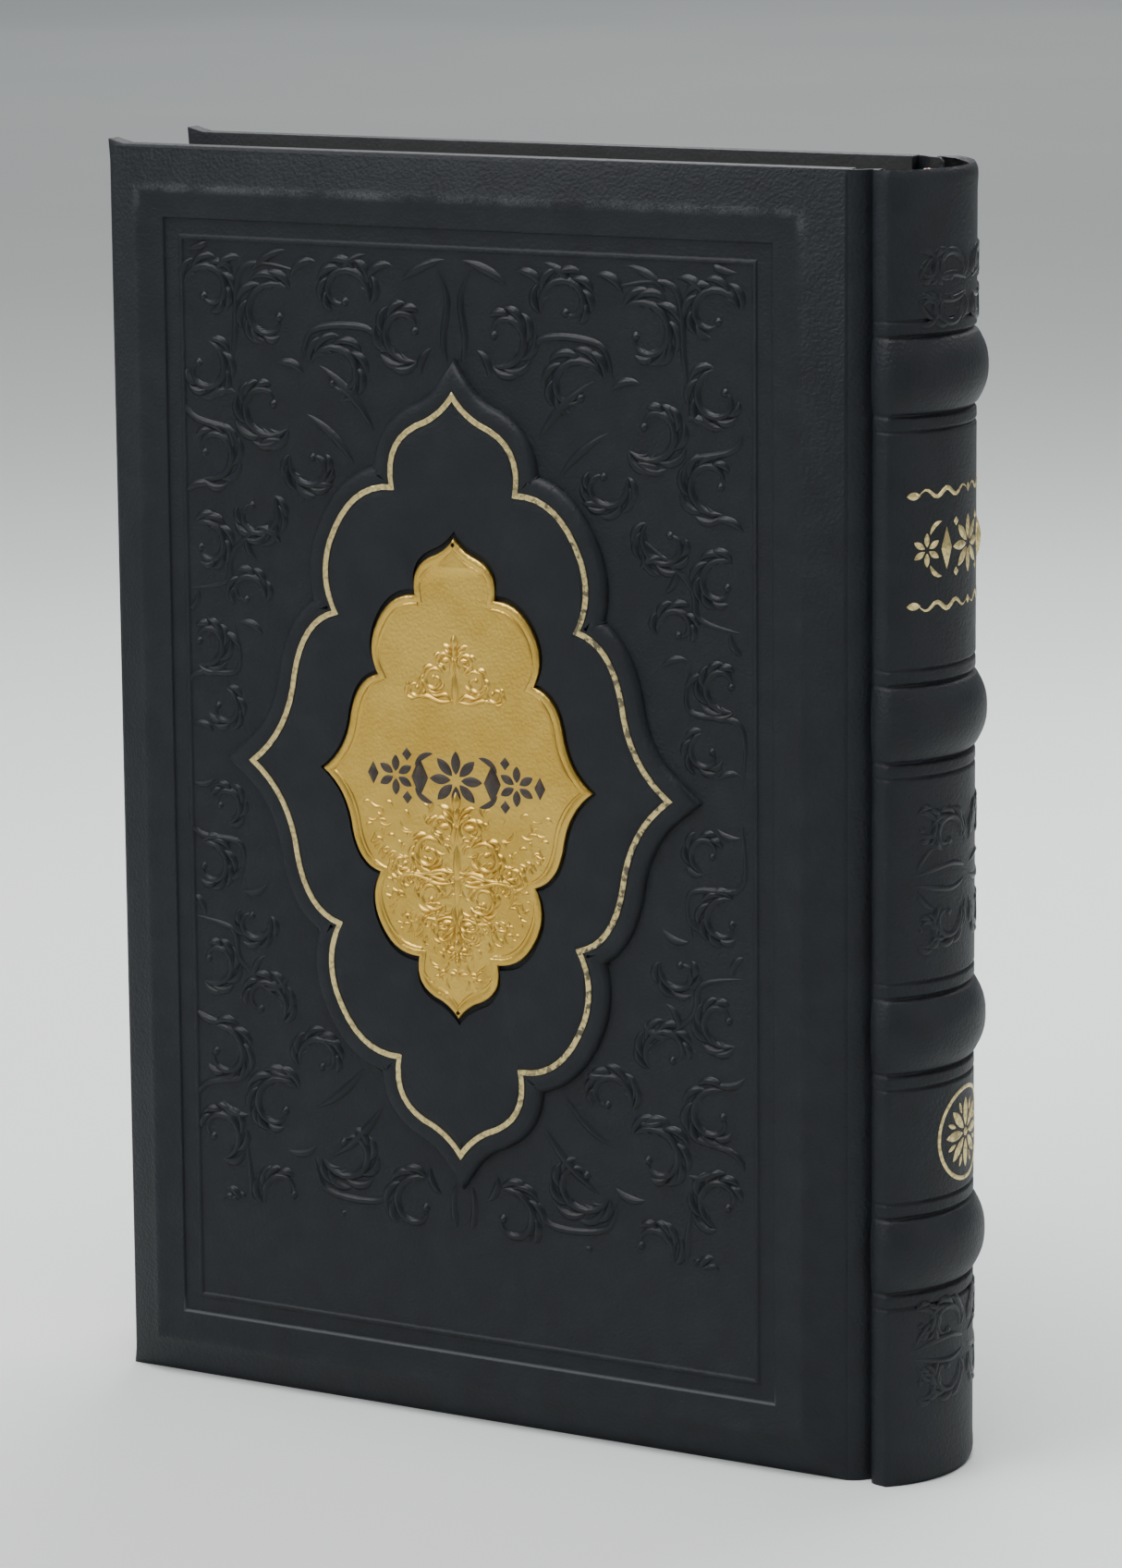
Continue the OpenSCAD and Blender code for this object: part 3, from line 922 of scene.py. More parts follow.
class PRAYERBOOK_OT_scrollwork(bpy.types.Operator):
    """Tool the panel with scrolls and leaves, drawn in one quarter and mirrored"""
    bl_idname = "prayerbook.scrollwork"
    bl_label = "Panel scrollwork"

    def execute(self, context):
        cover = context.scene.pb_cover
        w = context.scene.pb_medallion.stroke / MM
        quarter = []
        for args in SCROLLS:
            quarter += acanthus(*args[:6], w * args[6], args[7])
        for points, width in STEMS:
            quarter.append(stem(points, w * width))
        for args in LOOSE_LEAVES:
            quarter.append(leaf(*args[:5], w * args[5]))
        field_edge = spread(LINE_A, LINE_B, context.scene.pb_medallion.margin + 0.8 * MM)
        fence = [(x / MM, z / MM) for x, z in field_edge]
        reach = (BOARD_W / 2 - cover.panel_margin) / MM - PANEL_STRIP
        quarter = clipped(quarter, lambda x, y: 0.4 < x < reach and -0.5 < y < HEAD_REACH)
        quarter = clipped(quarter, lambda x, y: not inside(fence, x, y))
        lower = clipped(quarter, lambda x, y: y < TAIL_REACH)
        strokes = []
        for flip_x in (False, True):
            strokes += mirrored(quarter, flip_x) + mirrored(lower, flip_x, True)
        ground = PLATEAU - cover.panel_sink
        piece = stand_on_front(stroke_relief("panel_scrollwork", strokes, 0.30), ground)
        dress(piece, "tooled", "front_cover")
        return {"FINISHED"}


# All of the scrollwork is in millimetres from the medallion's centre.
# Plain strip inside the panel's edge, and how far the scrolls reach towards the head and the tail.
PANEL_STRIP = 3.2
HEAD_REACH = 70
TAIL_REACH = 62
# Each scroll: centre x, centre y, radius, starting angle, turns, winding, stroke share, leaves.
SCROLLS = [
    (7.0, 59.0, 4.2, 250, 0.80, 1, 1.0, 6),
    (16.5, 63.5, 4.0, 200, 0.85, -1, 1.0, 6),
    (17.5, 52.5, 4.4, 20, 0.80, 1, 1.0, 6),
    (27.5, 60.0, 4.6, 130, 0.85, -1, 1.0, 7),
    (37.0, 63.0, 3.9, 10, 0.85, 1, 0.95, 6),
    (38.0, 52.5, 3.8, 100, 0.85, 1, 0.95, 6),
    (28.5, 48.0, 4.4, 220, 0.85, 1, 1.0, 7),
    (21.5, 40.5, 3.6, 20, 0.80, -1, 0.9, 6),
    (37.0, 41.5, 4.0, 290, 0.85, -1, 0.95, 6),
    (30.5, 33.5, 3.8, 140, 0.80, 1, 0.9, 6),
    (38.0, 28.5, 3.5, 60, 0.80, 1, 0.9, 6),
    (32.0, 22.5, 3.0, 200, 0.80, -1, 0.85, 5),
    (38.5, 15.5, 3.4, 290, 0.80, -1, 0.9, 6),
    (36.0, 6.5, 2.8, 100, 0.80, 1, 0.8, 5),
]
# Each stem: the points it runs through, stroke share.
STEMS = [
    ([(0.8, 53.5), (1.6, 58.0), (1.0, 63.5), (2.6, 67.5)], 0.8),
    ([(10.5, 55.0), (13.0, 59.0), (21.0, 58.5), (23.0, 54.0)], 0.8),
    ([(22.5, 66.0), (31.5, 66.5), (33.0, 57.5), (33.5, 53.0)], 0.75),
    ([(41.2, 58.5), (40.8, 47.0), (33.5, 44.0), (33.0, 38.0)], 0.75),
    ([(24.5, 35.5), (33.5, 28.5), (35.0, 24.0), (41.0, 22.5)], 0.7),
    ([(34.0, 18.5), (33.5, 12.0), (40.8, 10.5), (41.0, 2.0)], 0.7),
]
# Each loose leaf: start x, start y, heading, length, curl, stroke share.
LOOSE_LEAVES = [
    (1.2, 68.6, -8, 7.5, -30, 1.0), (9.0, 67.4, 25, 5.0, -95, 1.0), (13.0, 68.8, -5, 6.0, -60, 0.9),
    (20.5, 67.5, 20, 5.0, -90, 1.0), (25.0, 68.9, -5, 6.5, -45, 0.9), (32.0, 67.6, 20, 5.0, -90, 1.0),
    (40.5, 68.6, 190, 5.0, -60, 0.9), (12.0, 45.5, 62, 12.0, -30, 1.0), (15.0, 40.8, 58, 10.0, -30, 0.9),
    (22.5, 52.5, 60, 5.0, -80, 0.9), (33.0, 49.5, 30, 5.0, -90, 0.9), (25.5, 43.0, 35, 5.0, -80, 0.9),
    (16.8, 36.5, 60, 5.5, -90, 1.0), (26.5, 29.5, 70, 5.0, -80, 0.9), (41.3, 35.5, 120, 5.0, 80, 0.9),
    (30.0, 27.0, 20, 4.5, 80, 0.8), (29.5, 17.0, 65, 4.5, -80, 0.8), (41.5, 19.5, 170, 4.0, -80, 0.8),
    (33.0, 14.5, 80, 4.0, -70, 0.8), (40.8, 4.0, 150, 3.8, 80, 0.7), (5.0, 53.2, 70, 4.5, 80, 0.9),
]


class PRAYERBOOK_OT_gilt_line(bpy.types.Operator):
    """Stamp the gilt line round the medallion"""
    bl_idname = "prayerbook.gilt_line"
    bl_label = "Gilt line"

    def execute(self, context):
        half = context.scene.pb_medallion.line_width / 2
        low, high = FIELD - 0.2 * MM, FIELD + 0.03 * MM
        rings = [(spread(LINE_A, LINE_B, half), low), (spread(LINE_A, LINE_B, half), high - 0.05 * MM),
                 (spread(LINE_A, LINE_B, half * 0.6), high), (spread(LINE_A, LINE_B, -half * 0.6), high),
                 (spread(LINE_A, LINE_B, -half), high - 0.05 * MM), (spread(LINE_A, LINE_B, -half), low)]
        piece = smooth(stacked_plate("gilt_medallion_line", rings, close=False), 60)
        dress(piece, "line", "front_cover", ["medallion_gilt_line"])
        return {"FINISHED"}


# ---------------------------------------------------------------- plaque

# The plaque's double rim from its edge inwards: distance in and drop from the top, in millimetres.
OUTER_RIM = ((0, 0.25), (0.12, 0.08), (0.3, 0), (0.75, 0), (0.95, 0.12))
INNER_RIM = ((1.232, 0.14), (1.4, 0.03), (1.624, 0.03), (1.848, 0.2))


class PRAYERBOOK_OT_plaque(bpy.types.Operator):
    """Cast the plaque: raised double rim round a stippled ground"""
    bl_idname = "prayerbook.plaque"
    bl_label = "Gold plaque"

    def execute(self, context):
        top = FIELD + 0.2 * MM
        rings = [(lobed(PLAQUE_A, PLAQUE_B), FIELD - SEAT_DEPTH)]
        for inset, drop in OUTER_RIM:
            rings.append((spread(PLAQUE_A, PLAQUE_B, -inset * MM), top - drop * MM))
        for inset, drop in INNER_RIM:
            rings.append((lobed(PLAQUE_A - inset * MM, PLAQUE_B - inset * MM), top - drop * MM))
        piece = smooth(stacked_plate("gold_plaque", rings), 40)
        dress(piece, "plaque", "front_cover", ["plaque"])
        return {"FINISHED"}


def bouquet(scale, w):
    """A standing spray of scrolls round an upright flower, mirrored left and right."""
    side = []
    side += acanthus(3.4, 0.2, 1.9, 150, 1.2, -1, w, 5)
    side += acanthus(6.6, -1.2, 1.5, 120, 1.1, 1, w * 0.9, 4)
    side += acanthus(1.9, 3.2, 1.3, 210, 1.1, -1, w * 0.9, 4)
    side.append(stem([(0.3, -2.6), (2.4, -2.9), (5.0, -2.2), (8.2, -3.0)], w))
    side.append(stem([(0.4, -3.2), (1.6, -1.8), (3.4, -2.0), (5.2, -0.6)], w * 0.9))
    side.append(leaf(8.0, -2.6, 60, 2.2, 90, w * 0.9))
    side.append(leaf(0.5, 4.4, 75, 2.2, -70, w))
    side.append(leaf(0.3, 1.2, 60, 2.6, 70, w))
    both = side + mirrored(side, x=True) + petal_ring(0, 3.4, 0.5, 1.9, w * 1.2, 8)[:5]
    both.append([(0, 5.0, 0.05), (0, 5.6, w * 1.2), (0, 6.2, w * 1.6), (0, 6.8, w * 1.0), (0, 7.4, 0.05)])
    both.append([(0, -3.4, 0.05), (0, -2.4, w), (0, -1.0, w * 1.3), (0, 0.6, w), (0, 1.6, 0.05)])
    return [[(x * scale, y * scale, width) for x, y, width in stroke] for stroke in both]


def moved(strokes, dx, dy):
    return [[(x + dx, y + dy, w) for x, y, w in stroke] for stroke in strokes]


def foliage(reach):
    """Small curling leaves strewn over the plaque's lower half."""
    strew = random.Random(7)
    strokes = []
    for k in range(230):
        x, y = strew.uniform(0.6, 15), strew.uniform(-reach, -3.6)
        curled = leaf(x, y, strew.uniform(0, 360), strew.uniform(1.3, 2.3), strew.choice((-110, 110)), 0.5)
        strokes += [curled] + mirrored([curled], x=True)
    return strokes


class PRAYERBOOK_OT_plaque_relief(bpy.types.Operator):
    """Chase two sprays of scrolls into the plaque, a small one above and a large one below"""
    bl_idname = "prayerbook.plaque_relief"
    bl_label = "Plaque relief"

    def execute(self, context):
        strokes = moved(bouquet(0.90, 0.85), 0, 13.0)
        low = moved(bouquet(1.25, 1.0), 0, -10.5) + mirrored(moved(bouquet(1.1, 0.95), 0, 15.5), y=True)
        low += moved(mirrored(bouquet(0.66, 0.7), y=True), 0, -20.5)
        strokes += low + foliage(PLAQUE_B / MM)
        fence = [(x / MM, z / MM) for x, z in lobed(PLAQUE_A - 2.6 * MM, PLAQUE_B - 2.6 * MM)]
        strokes = clipped(strokes, lambda x, y: inside(fence, x, y))
        piece = stand_on_front(stroke_relief("plaque_relief", strokes, 0.42), FIELD - 0.02 * MM)
        dress(piece, "relief", "front_cover", ["plaque_filigree"])
        return {"FINISHED"}


def lozenge(cx, cy, half_w, half_h):
    """A filled lozenge, drawn as one stroke that widens to its middle."""
    return [(cx - half_w, cy, 0.05), (cx - half_w * 0.5, cy, half_h), (cx, cy, half_h * 2),
            (cx + half_w * 0.5, cy, half_h), (cx + half_w, cy, 0.05)]


def petal_ring(cx, cy, inner, length, width, count, turn=0.0):
    """Petals set in a circle."""
    strokes = []
    for k in range(count):
        angle = math.degrees(math.tau * k / count) + turn
        a = math.radians(angle)
        strokes.append(leaf(cx + inner * math.cos(a), cy + inner * math.sin(a), angle, length, 0, width))
    return strokes


class PRAYERBOOK_OT_plaque_ornament(bpy.types.Operator):
    """Sink a row of dark enamel rosettes and lozenges into the plaque"""
    bl_idname = "prayerbook.plaque_ornament"
    bl_label = "Enamel ornament row"

    def execute(self, context):
        strokes = petal_ring(0, 0, 0.8, 3.1, 1.4, 8)
        for side in (-1, 1):
            strokes.append(lozenge(side * 5.4, 0, 1.25, 2.9))
            strokes += petal_ring(side * 9.0, 0, 0.5, 2.2, 1.15, 6, 30)
            for up in (-1, 1):
                strokes.append(leaf(side * 3.4, up * 3.3, 90 - side * 90, 3.4, -side * up * 60, 0.8))
                strokes.append(lozenge(side * 7.3, up * 2.9, 0.7, 0.9))
            strokes.append(lozenge(side * 12.4, 0, 0.8, 1.6))
        piece = stand_on_front(stroke_relief("enamel_ornament_row", strokes, 0.10), FIELD + 0.04 * MM)
        dress(piece, "enamel", "front_cover", ["plaque_inlay"])
        return {"FINISHED"}


# ---------------------------------------------------------------- spine and joints

CROWN_X = CARD_HI.x + 0.8 * MM
ARC_HALF = INNER + 2.9 * MM
ARC_RISE = CROWN_X - (JOINT_X + 5.5 * MM)
ARC_R = (ARC_HALF ** 2 + ARC_RISE ** 2) / (2 * ARC_RISE)
ARC_X = CROWN_X - ARC_R
ARC_ANGLE = math.asin(ARC_HALF / ARC_R)
SPINE_COLUMNS = 36
# Creases beside each band: distance from the band, depth, half width.
CREASES = ((0.2 * MM, 0.46 * MM, 0.28 * MM), (2.2 * MM, 0.30 * MM, 0.22 * MM))
# Points of the lip: place beyond the board's edge, height over the text block, facing in degrees,
# share of the bands' rise.
SPINE_LIP = ((3.4, 0.45, 180, 0.0), (3.05, 1.0, 180, 0.0), (2.95, 1.6, 172, 0.03), (3.1, 2.08, 150, 0.12),
             (3.55, 2.45, 132, 0.25), (4.2, 2.68, 115, 0.38), (4.9, 2.82, 106, 0.5))
# Distances of the close rows of points from the caps, and their spacing elsewhere, in millimetres.
CAP_ROWS = (0.0, 0.15, 0.4, 0.8, 1.3)
EVEN_ROWS = 210
CREASE_ROWS = 6
CREASE_SPACING = 0.11


def band_lift(distance, spine):
    """Rise of one band at a distance from its middle."""
    half = spine.band_height / 2
    if distance >= half:
        return 0.0
    return spine.band_rise * math.cos(math.pi / 2 * (distance / half) ** 1.25)


def band_bulge(z, spine):
    """Height of the raised bands over the spine at a level, less the creases beside them."""
    rise = 0.0
    for middle in BAND_Z:
        distance = abs(z - middle)
        rise += band_lift(distance, spine)
        for gap, depth, width in CREASES:
            rise -= depth * math.exp(-((distance - spine.band_height / 2 - gap) / width) ** 2)
    return rise


def band_fade(angle):
    """Share of the bands' rise across the back: full over the crown, softer towards the joints."""
    side = abs(angle) / ARC_ANGLE
    return 1 - 0.45 * max(0.0, (side - 0.55) / 0.45) ** 2


def on_spine(angle, radius, z):
    return (ARC_X + radius * math.cos(angle), MID_Y + radius * math.sin(angle), z)


def levels(spine):
    """Heights of the spine's rows of points, close together at the caps and in the creases."""
    top, last = TOP_Z / MM, CAP_ROWS[-1]
    rows = set(CAP_ROWS) | {top - row for row in CAP_ROWS}
    rows |= {last + (top - 2 * last) * i / EVEN_ROWS for i in range(1, EVEN_ROWS)}
    spread_out = CREASE_ROWS * CREASE_SPACING
    for middle in BAND_Z:
        for gap, depth, width in CREASES:
            for side in (-1, 1):
                place = (middle + side * (spine.band_height / 2 + gap)) / MM
                rows = {row for row in rows if abs(row - place) > spread_out}
                rows |= {place + k * CREASE_SPACING for k in range(-CREASE_ROWS, CREASE_ROWS + 1)}
    return [row * MM for row in sorted(rows)]


def spine_section(bulge):
    """One row of the spine leather across the book: a lip, the round back and the other lip."""
    lip = []
    for x, w, turn, share in SPINE_LIP:
        away = bulge * share
        lip.append((JOINT_X + x * MM + away * math.cos(math.radians(turn)),
                    INNER + w * MM + away * math.sin(math.radians(turn))))
    row = [(x, -w) for x, w in lip]
    for c in range(SPINE_COLUMNS + 1):
        angle = ARC_ANGLE * (2 * c / SPINE_COLUMNS - 1)
        away = bulge * band_fade(angle)
        row.append((ARC_X + (ARC_R + away) * math.cos(angle), (ARC_R + away) * math.sin(angle)))
    return row + [(x, w) for x, w in reversed(lip)]


class PRAYERBOOK_OT_spine(bpy.types.Operator):
    """Draw the leather over the spine and its raised bands, rolled over at head and tail"""
    bl_idname = "prayerbook.spine"
    bl_label = "Spine leather"

    def execute(self, context):
        spine = context.scene.pb_spine
        rows = levels(spine)
        verts = []
        for z in rows:
            cap = min(z, TOP_Z - z)
            roll = 0.35 * MM * max(0.0, 1 - cap / (1.0 * MM)) ** 2
            swell = 0.10 * MM * math.exp(-((cap - 1.6 * MM) / (1.0 * MM)) ** 2)
            verts += [(x, MID_Y + w, z) for x, w in spine_section(band_bulge(z, spine) - roll + swell)]
        piece = link_mesh("spine_leather_cover", verts, grid_faces(len(rows), len(verts) // len(rows)))
        use_modifier(piece, "SOLIDIFY", thickness=spine.thickness, offset=-1)
        mend(piece)
        smooth(piece, 60)
        dress(piece, "leather", "book_block", ["spine_leather"])
        self.add_cores(spine)
        return {"FINISHED"}

    def add_cores(self, spine):
        """Card strips that fill the hollow of the leather behind each band, closed rings from end to end."""
        verts, faces = [], []
        reach, columns = spine.band_height * 0.3, 24
        width = ARC_ANGLE * 0.86
        under = ARC_R - spine.thickness
        ring = 2 * (columns + 1)
        angles = [width * (2 * c / columns - 1) for c in range(columns + 1)]
        for middle in BAND_Z:
            first = len(verts)
            for step in range(5):
                z = middle + reach * (step / 2 - 1)
                lift = band_lift(abs(z - middle), spine)
                outer = [on_spine(a, under + lift * band_fade(a) - 0.06 * MM, z) for a in angles]
                verts += outer + [on_spine(a, under, z) for a in reversed(angles)]
            faces += [tuple(first + i for i in face) for face in grid_faces(5, ring, wrap=True)]
            for end in (first, first + 4 * ring):
                last = end + ring - 1
                faces += [(end + c, end + c + 1, last - c - 1, last - c) for c in range(columns)]
        cores = smooth(mend(link_mesh("band_cores", verts, faces)), 40)
        dress(cores, "board", "book_block", ["raised_bands"])


def wrap_on_spine(piece, radius, z):
    """Bends a flat relief round the spine: its X runs round the spine, its Y up and its Z outwards."""
    for vertex in piece.data.vertices:
        across, up, out = vertex.co
        vertex.co = on_spine(across / radius, radius + out, z + up)
    return piece


class PRAYERBOOK_OT_spine_tooling(bpy.types.Operator):
    """Tool leaf sprays into the plain panels between the bands"""
    bl_idname = "prayerbook.spine_tooling"
    bl_label = "Spine tooling"

    def execute(self, context):
        edges = [0.0] + BAND_Z + [TOP_Z]
        strokes = []
        for index in (0, 2, 4):
            low, high = edges[index] / MM, edges[index + 1] / MM
            middle = (low + high) / 2 + (2.0 if index == 0 else -2.0 if index == 4 else 0)
            tall = (high - low) / 2 - 8.2
            for flip in (False, True):
                half = acanthus(4.6, tall * 0.45, 3.0, 200, 0.85, -1, 1.3, 6)
                half += acanthus(8.4, tall * 0.55, 2.2, 60, 0.8, 1, 1.1, 5)
                half.append(stem([(0.8, 0.8), (4.2, 1.6), (10.2, 0.6)], 1.0))
                half.append(leaf(0.6, tall * 0.3, 80, 6.0, -30, 1.2))
                half.append(leaf(9.6, 1.2, 100, 4.0, 60, 1.0))
                both = half + mirrored(half, x=True)
                both = clipped(mirrored(both, y=flip), lambda x, y: abs(x) < 10.8 and abs(y) < tall)
                strokes += moved(both, 0, middle)
        piece = wrap_on_spine(stroke_relief("spine_tooling", strokes, 0.22), ARC_R, 0)
        dress(piece, "tooled", "book_block")
        return {"FINISHED"}


class PRAYERBOOK_OT_spine_gilding(bpy.types.Operator):
    """Stamp the gilt ornaments on the spine: a row between two flourishes, and a rosette"""
    bl_idname = "prayerbook.spine_gilding"
    bl_label = "Spine gilding"

    def execute(self, context):
        title_z = (TITLE_LO.z + TITLE_HI.z) / 2
        row = petal_ring(0, 0, 0.6, 3.1, 1.2, 8)
        for side in (-1, 1):
            row.append(lozenge(side * 5.0, 0, 0.95, 3.0))
            row += petal_ring(side * 8.3, 0, 0.4, 1.75, 0.8, 6, 30)
            for up in (-1, 1):
                row.append(lozenge(side * 3.1, up * 3.2, 0.5, 0.6))
                row.append(leaf(side * 5.9, up * 3.5, 90 - side * 90, 2.6, -side * up * 70, 0.6))
        self.stamp("gilt_spine_row", row, 0.10, title_z, "spine_title_gilt")

        flourish = []
        for up in (-1, 1):
            for side in (-1, 1):
                wave = [(side * (0.6 + 0.5 * k), up * (7.2 + 0.5 * math.sin(k * 0.9))) for k in range(19)]
                flourish.append(stroke_along(wave, 0.6, tapered))
                flourish.append(leaf(side * 9.3, up * 7.0, 90 - side * 90, 1.9, 0, 1.0))
            flourish.append(lozenge(0, up * 7.2, 0.5, 0.6))
        self.stamp("gilt_spine_flourishes", flourish, 0.12, title_z, "spine_scroll_gilt")

        rosette_z = (ROSETTE_LO.z + ROSETTE_HI.z) / 2
        rosette_r = (ROSETTE_HI.z - ROSETTE_LO.z) / 2 / MM
        ring = [(rosette_r * math.cos(math.tau * k / 60), rosette_r * math.sin(math.tau * k / 60), 0.55)
                for k in range(61)]
        petals = petal_ring(0, 0, 0.9, rosette_r * 0.62, 1.3, 8) + petal_ring(0, 0, 2.9, 1.7, 0.6, 8, 22.5)
        petals.append([(-0.6, 0, 0.1), (-0.3, 0, 0.9), (0, 0, 1.1), (0.3, 0, 0.9), (0.6, 0, 0.1)])
        self.stamp("gilt_spine_rosette", [ring] + petals, 0.12, rosette_z, "spine_rosette_gilt")
        return {"FINISHED"}

    def stamp(self, name, strokes, height, z, node):
        """Presses the strokes onto the back of the spine at a level."""
        piece = wrap_on_spine(stroke_relief(name, strokes, height), ARC_R + 0.02 * MM, z)
        dress(piece, "gilt", "book_block", [node])


# The groove's section from the board to the spine: place beyond the board's edge and height over the
# board's edge, in millimetres.
GROOVE = ((-1.1, -0.45), (-0.8, -0.12), (-0.4, 0.03), (0.1, 0.0), (0.7, -0.22), (1.3, -0.55),
          (1.9, -0.98), (2.35, -1.50), (2.75, -1.84), (3.3, -1.92), (4.3, -1.92))
JOINT_ROWS = 61
JOINT_END = 0.06 * MM


class PRAYERBOOK_OT_joints(bpy.types.Operator):
    """Press the leather into the groove between each board and the spine"""
    bl_idname = "prayerbook.joints"
    bl_label = "Joint leathers"

    def execute(self, context):
        edge = INNER + context.scene.pb_cover.edge_thickness
        for facing, side in ((-1, "front"), (1, "back")):
            verts = []
            for r in range(JOINT_ROWS):
                z = JOINT_END + (TOP_Z - 2 * JOINT_END) * r / (JOINT_ROWS - 1)
                verts += [(JOINT_X + x * MM, MID_Y + facing * (edge + w * MM), z) for x, w in GROOVE]
            piece = link_mesh(side + "_joint_leather", verts, grid_faces(JOINT_ROWS, len(GROOVE)))
            mend(use_modifier(piece, "SUBSURF", levels=1, render_levels=1))
            outward = piece.data.polygons[0].normal.y * facing
            use_modifier(piece, "SOLIDIFY", thickness=0.6 * MM, offset=-1 if outward > 0 else 1)
            smooth(mend(piece), 60)
            dress(piece, "leather", None, [side + "_joint"])
            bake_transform(piece)
        return {"FINISHED"}


# ---------------------------------------------------------------- text block

# A head band's rows along its arc, points round its core, rows to a turn of silk and depth of a turn.
SILK_ROWS = 151
CORE_POINTS = 10
ROWS_PER_TURN = 5
TURN_DEPTH = 0.09
CORE_RADIUS = 0.75 * MM


class PRAYERBOOK_OT_head_bands(bpy.types.Operator):
    """Wind the head and tail bands in silk"""
    bl_idname = "prayerbook.head_bands"
    bl_label = "Head and tail bands"

    def execute(self, context):
        for node in ("head_band", "tail_band"):
            low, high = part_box(node)
            half, depth, thick = (high.y - low.y) / 2, high.x - low.x, (high.z - low.z) / 2
            radius = (half ** 2 + depth ** 2) / (2 * depth)
            reach = math.asin(min(1.0, half / radius))
            verts = []
            for r in range(SILK_ROWS):
                a = reach * (2 * r / (SILK_ROWS - 1) - 1)
                rib = 1 + TURN_DEPTH * math.sin(r * math.tau / ROWS_PER_TURN)
                for k in range(CORE_POINTS):
                    t = math.tau * k / CORE_POINTS
                    out = radius - CORE_RADIUS + CORE_RADIUS * rib * math.cos(t)
                    verts.append((high.x - radius + out * math.cos(a), MID_Y + out * math.sin(a),
                                  (low.z + high.z) / 2 + thick * rib * math.sin(t)))
            faces = grid_faces(SILK_ROWS, CORE_POINTS, wrap=True)
            faces += [tuple(range(CORE_POINTS)), tuple(range(len(verts) - CORE_POINTS, len(verts)))]
            piece = smooth(mend(link_mesh("silk_" + node, verts, faces)), 60)
            dress(piece, "silk", "book_block", [node])
        finish_node("linen", "spine_lining", "sewing_threads")
        return {"FINISHED"}


# Cuts across a turning leaf, close together at the gutter where it bends, as shares of its width.
LEAF_CUTS = (0.02, 0.05, 0.08, 0.11, 0.14, 0.18, 0.25, 0.5, 0.75)


class PRAYERBOOK_OT_pages(bpy.types.Operator):
    """Finish the sewn sections and rebuild the turning leaves with cuts across them, closest together at the
    gutter
    """
    bl_idname = "prayerbook.pages"
    bl_label = "Pages"

    def execute(self, context):
        sections = [name for name in frame["nodes"] if name.startswith("section_")]
        finish_node("paper", "front_gutter", *sections)
        turning = [("front_flyleaf", "endpaper", "endpaper"), ("back_flyleaf", "endpaper", "endpaper")]
        turning += [(name, "edges", "paper") for name in frame["nodes"] if name.startswith("leaf_group_")]
        for node, key, slot in turning:
            low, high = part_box(node)
            piece = add_block(node + "_sheets", low, high)
            for share in LEAF_CUTS:
                bisect(piece, (high.x - (high.x - low.x) * share, 0, 0), (1, 0, 0))
            mend(piece)
            smooth(piece, 30)
            dress(piece, key, None, [node])
            if key == "edges":
                across = piece.data.attributes.new("across", "FLOAT", "POINT")
                for vertex, value in zip(piece.data.vertices, across.data):
                    value.value = vertex.co.y
                piece.data.materials.append(material("page"))
                for face in piece.data.polygons:
                    face.material_index = int(abs(face.normal.y) > 0.7)
            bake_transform(piece)
        return {"FINISHED"}


# ---------------------------------------------------------------- stage

def aim(thing, target):
    thing.rotation_mode = "QUATERNION"
    thing.rotation_quaternion = (Vector(target) - thing.location).to_track_quat("-Z", "Y")


def soft_light(name, place, target, size, watts):
    data = bpy.data.lights.new(name, "AREA")
    data.shape = "RECTANGLE"
    data.size, data.size_y = size
    data.energy = watts
    lamp = bpy.data.objects.new(name, data)
    bpy.context.scene.collection.objects.link(lamp)
    lamp.location = place
    aim(lamp, target)


# Soft lights: name, place, target, width and height, watts.
LIGHTS = (
    ("overhead light", (-0.05, -0.20, 0.95), (0, 0, 0.08), (0.7, 0.45), 11.5),
    ("key light", (-1.12, -1.75, 1.50), (0, 0, 0.10), (1.1, 0.7), 36),
    ("side light", (1.3, 0.05, 0.5), (0, 0, 0.08), (0.6, 0.8), 4.0),
    ("background light", (0.02, 0.36, 0.50), (0.03, 0.30, 0), (0.5, 0.3), 4.5),
    ("far light", (-0.9, 2.6, 1.6), (-1.0, 2.8, 0), (2.0, 1.5), 12),
)
ROOM_COLOR = (0.80, 0.84, 0.86, 1)
ROOM_STRENGTH = 0.36
FLOOR_SIZE = 30


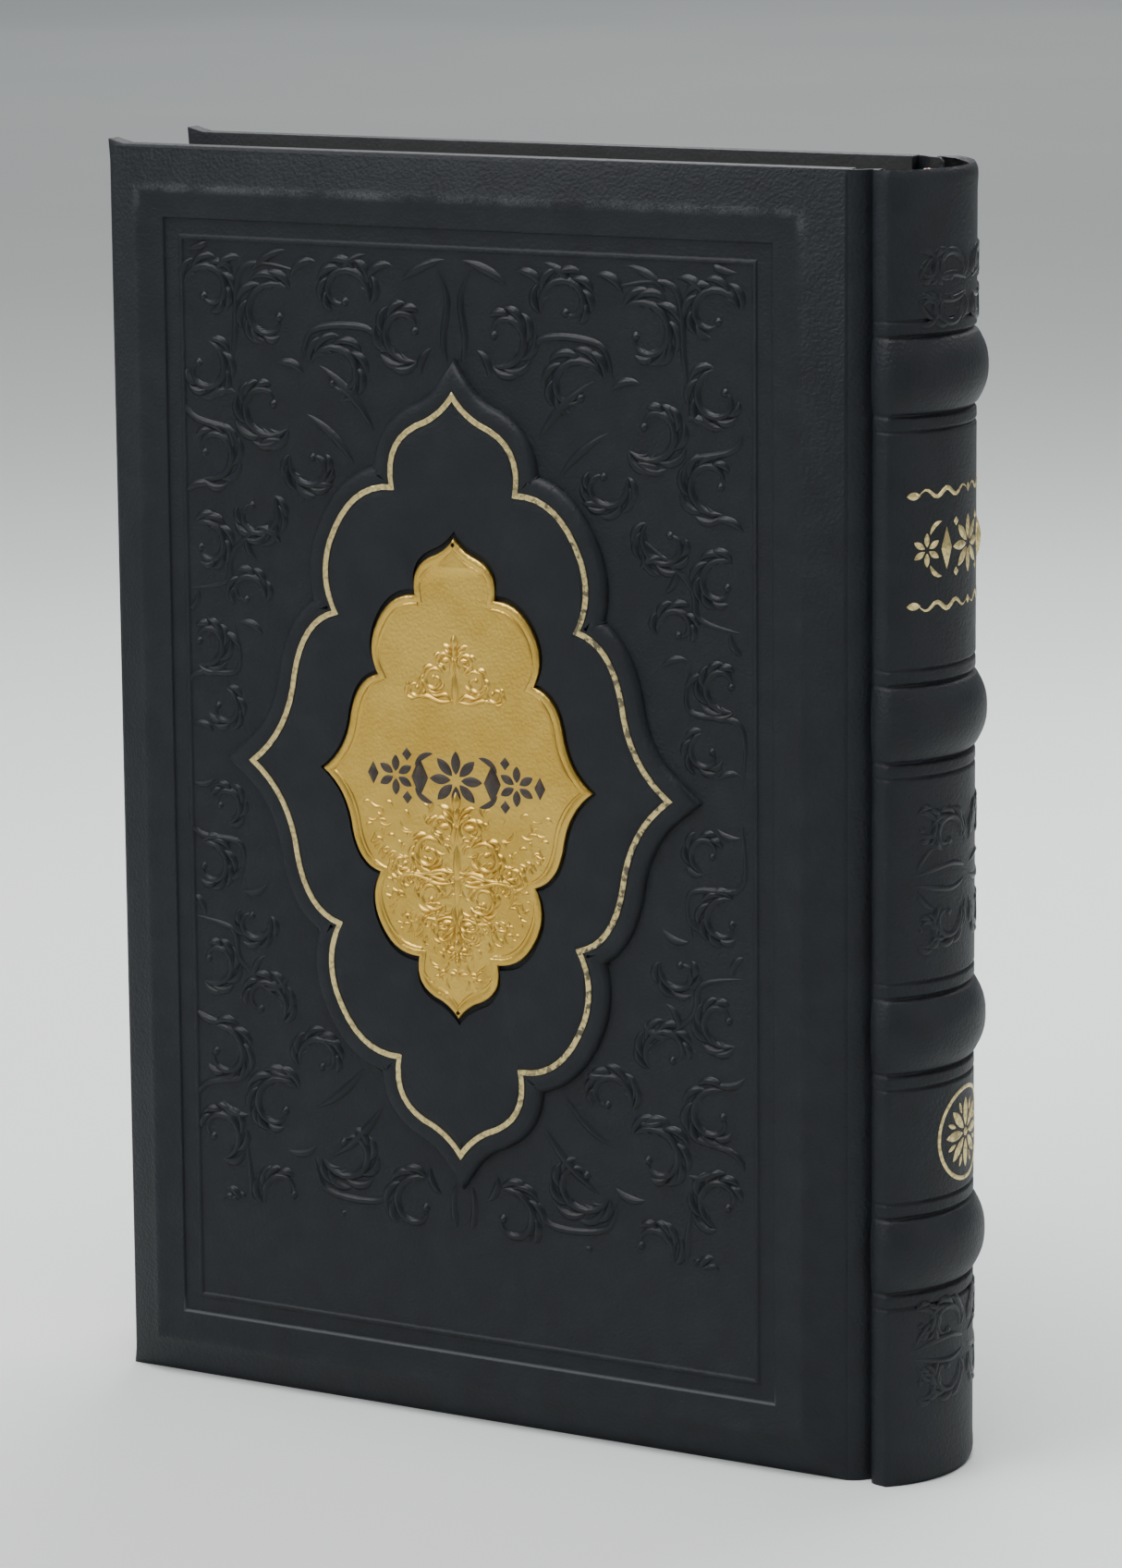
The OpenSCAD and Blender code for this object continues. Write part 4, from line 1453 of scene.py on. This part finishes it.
class PRAYERBOOK_OT_stage(bpy.types.Operator):
    """Lay the backdrop, hang the lights and place the camera"""
    bl_idname = "prayerbook.stage"
    bl_label = "Stage"

    def execute(self, context):
        stage = context.scene.pb_stage
        deselect()
        bpy.ops.mesh.primitive_plane_add(size=FLOOR_SIZE, location=(0, 0, 0))
        floor = context.object
        floor.name = "backdrop"
        floor.data.materials.append(material("backdrop"))

        camera_data = bpy.data.cameras.new("camera")
        camera = bpy.data.objects.new("camera", camera_data)
        context.scene.collection.objects.link(camera)
        az, el = stage.azimuth, stage.elevation
        back = Vector((math.sin(az) * math.cos(el), -math.cos(az) * math.cos(el), math.sin(el)))
        camera.location = Vector(stage.target) + back * stage.distance
        aim(camera, stage.target)
        camera.rotation_quaternion = camera.rotation_quaternion @ Quaternion((0, 0, 1), stage.roll)
        camera_data.lens = stage.lens
        camera_data.shift_y = stage.shift_y
        camera_data.clip_start = 0.01
        camera_data.clip_end = 50
        context.scene.camera = camera

        for light in LIGHTS:
            soft_light(*light)
        world = bpy.data.worlds.new("studio")
        world.use_nodes = True
        room = world.node_tree.nodes["Background"]
        room.inputs["Color"].default_value = ROOM_COLOR
        room.inputs["Strength"].default_value = ROOM_STRENGTH
        context.scene.world = world
        return {"FINISHED"}


# ---------------------------------------------------------------- add-on

OPERATORS = (
    PRAYERBOOK_OT_covers,
    PRAYERBOOK_OT_field,
    PRAYERBOOK_OT_scrollwork,
    PRAYERBOOK_OT_gilt_line,
    PRAYERBOOK_OT_plaque,
    PRAYERBOOK_OT_plaque_relief,
    PRAYERBOOK_OT_plaque_ornament,
    PRAYERBOOK_OT_spine,
    PRAYERBOOK_OT_spine_tooling,
    PRAYERBOOK_OT_spine_gilding,
    PRAYERBOOK_OT_joints,
    PRAYERBOOK_OT_head_bands,
    PRAYERBOOK_OT_pages,
    PRAYERBOOK_OT_stage,
)


class PRAYERBOOK_PT_panel(bpy.types.Panel):
    """Lists every step of the binding"""
    bl_idname = "PRAYERBOOK_PT_panel"
    bl_label = "Prayer Book"
    bl_space_type = "VIEW_3D"
    bl_region_type = "UI"
    bl_category = "Prayer Book"

    def draw(self, context):
        for name, group in SETTINGS.items():
            box = self.layout.box()
            for key in group.__annotations__:
                box.prop(getattr(context.scene, name), key)
        for operator in OPERATORS:
            self.layout.operator(operator.bl_idname)


def register():
    for name, group in SETTINGS.items():
        bpy.utils.register_class(group)
        setattr(bpy.types.Scene, name, bpy.props.PointerProperty(type=group))
    for cls in OPERATORS + (PRAYERBOOK_PT_panel,):
        bpy.utils.register_class(cls)


def unregister():
    for cls in reversed(OPERATORS + (PRAYERBOOK_PT_panel,)):
        bpy.utils.unregister_class(cls)
    for name, group in reversed(SETTINGS.items()):
        delattr(bpy.types.Scene, name)
        bpy.utils.unregister_class(group)


def main():
    register()
    for operator in OPERATORS:
        category, step = operator.bl_idname.split(".")
        if getattr(getattr(bpy.ops, category), step)() != {"FINISHED"}:
            raise RuntimeError(operator.bl_label + " didn't finish")


if __name__ == "__main__":
    main()
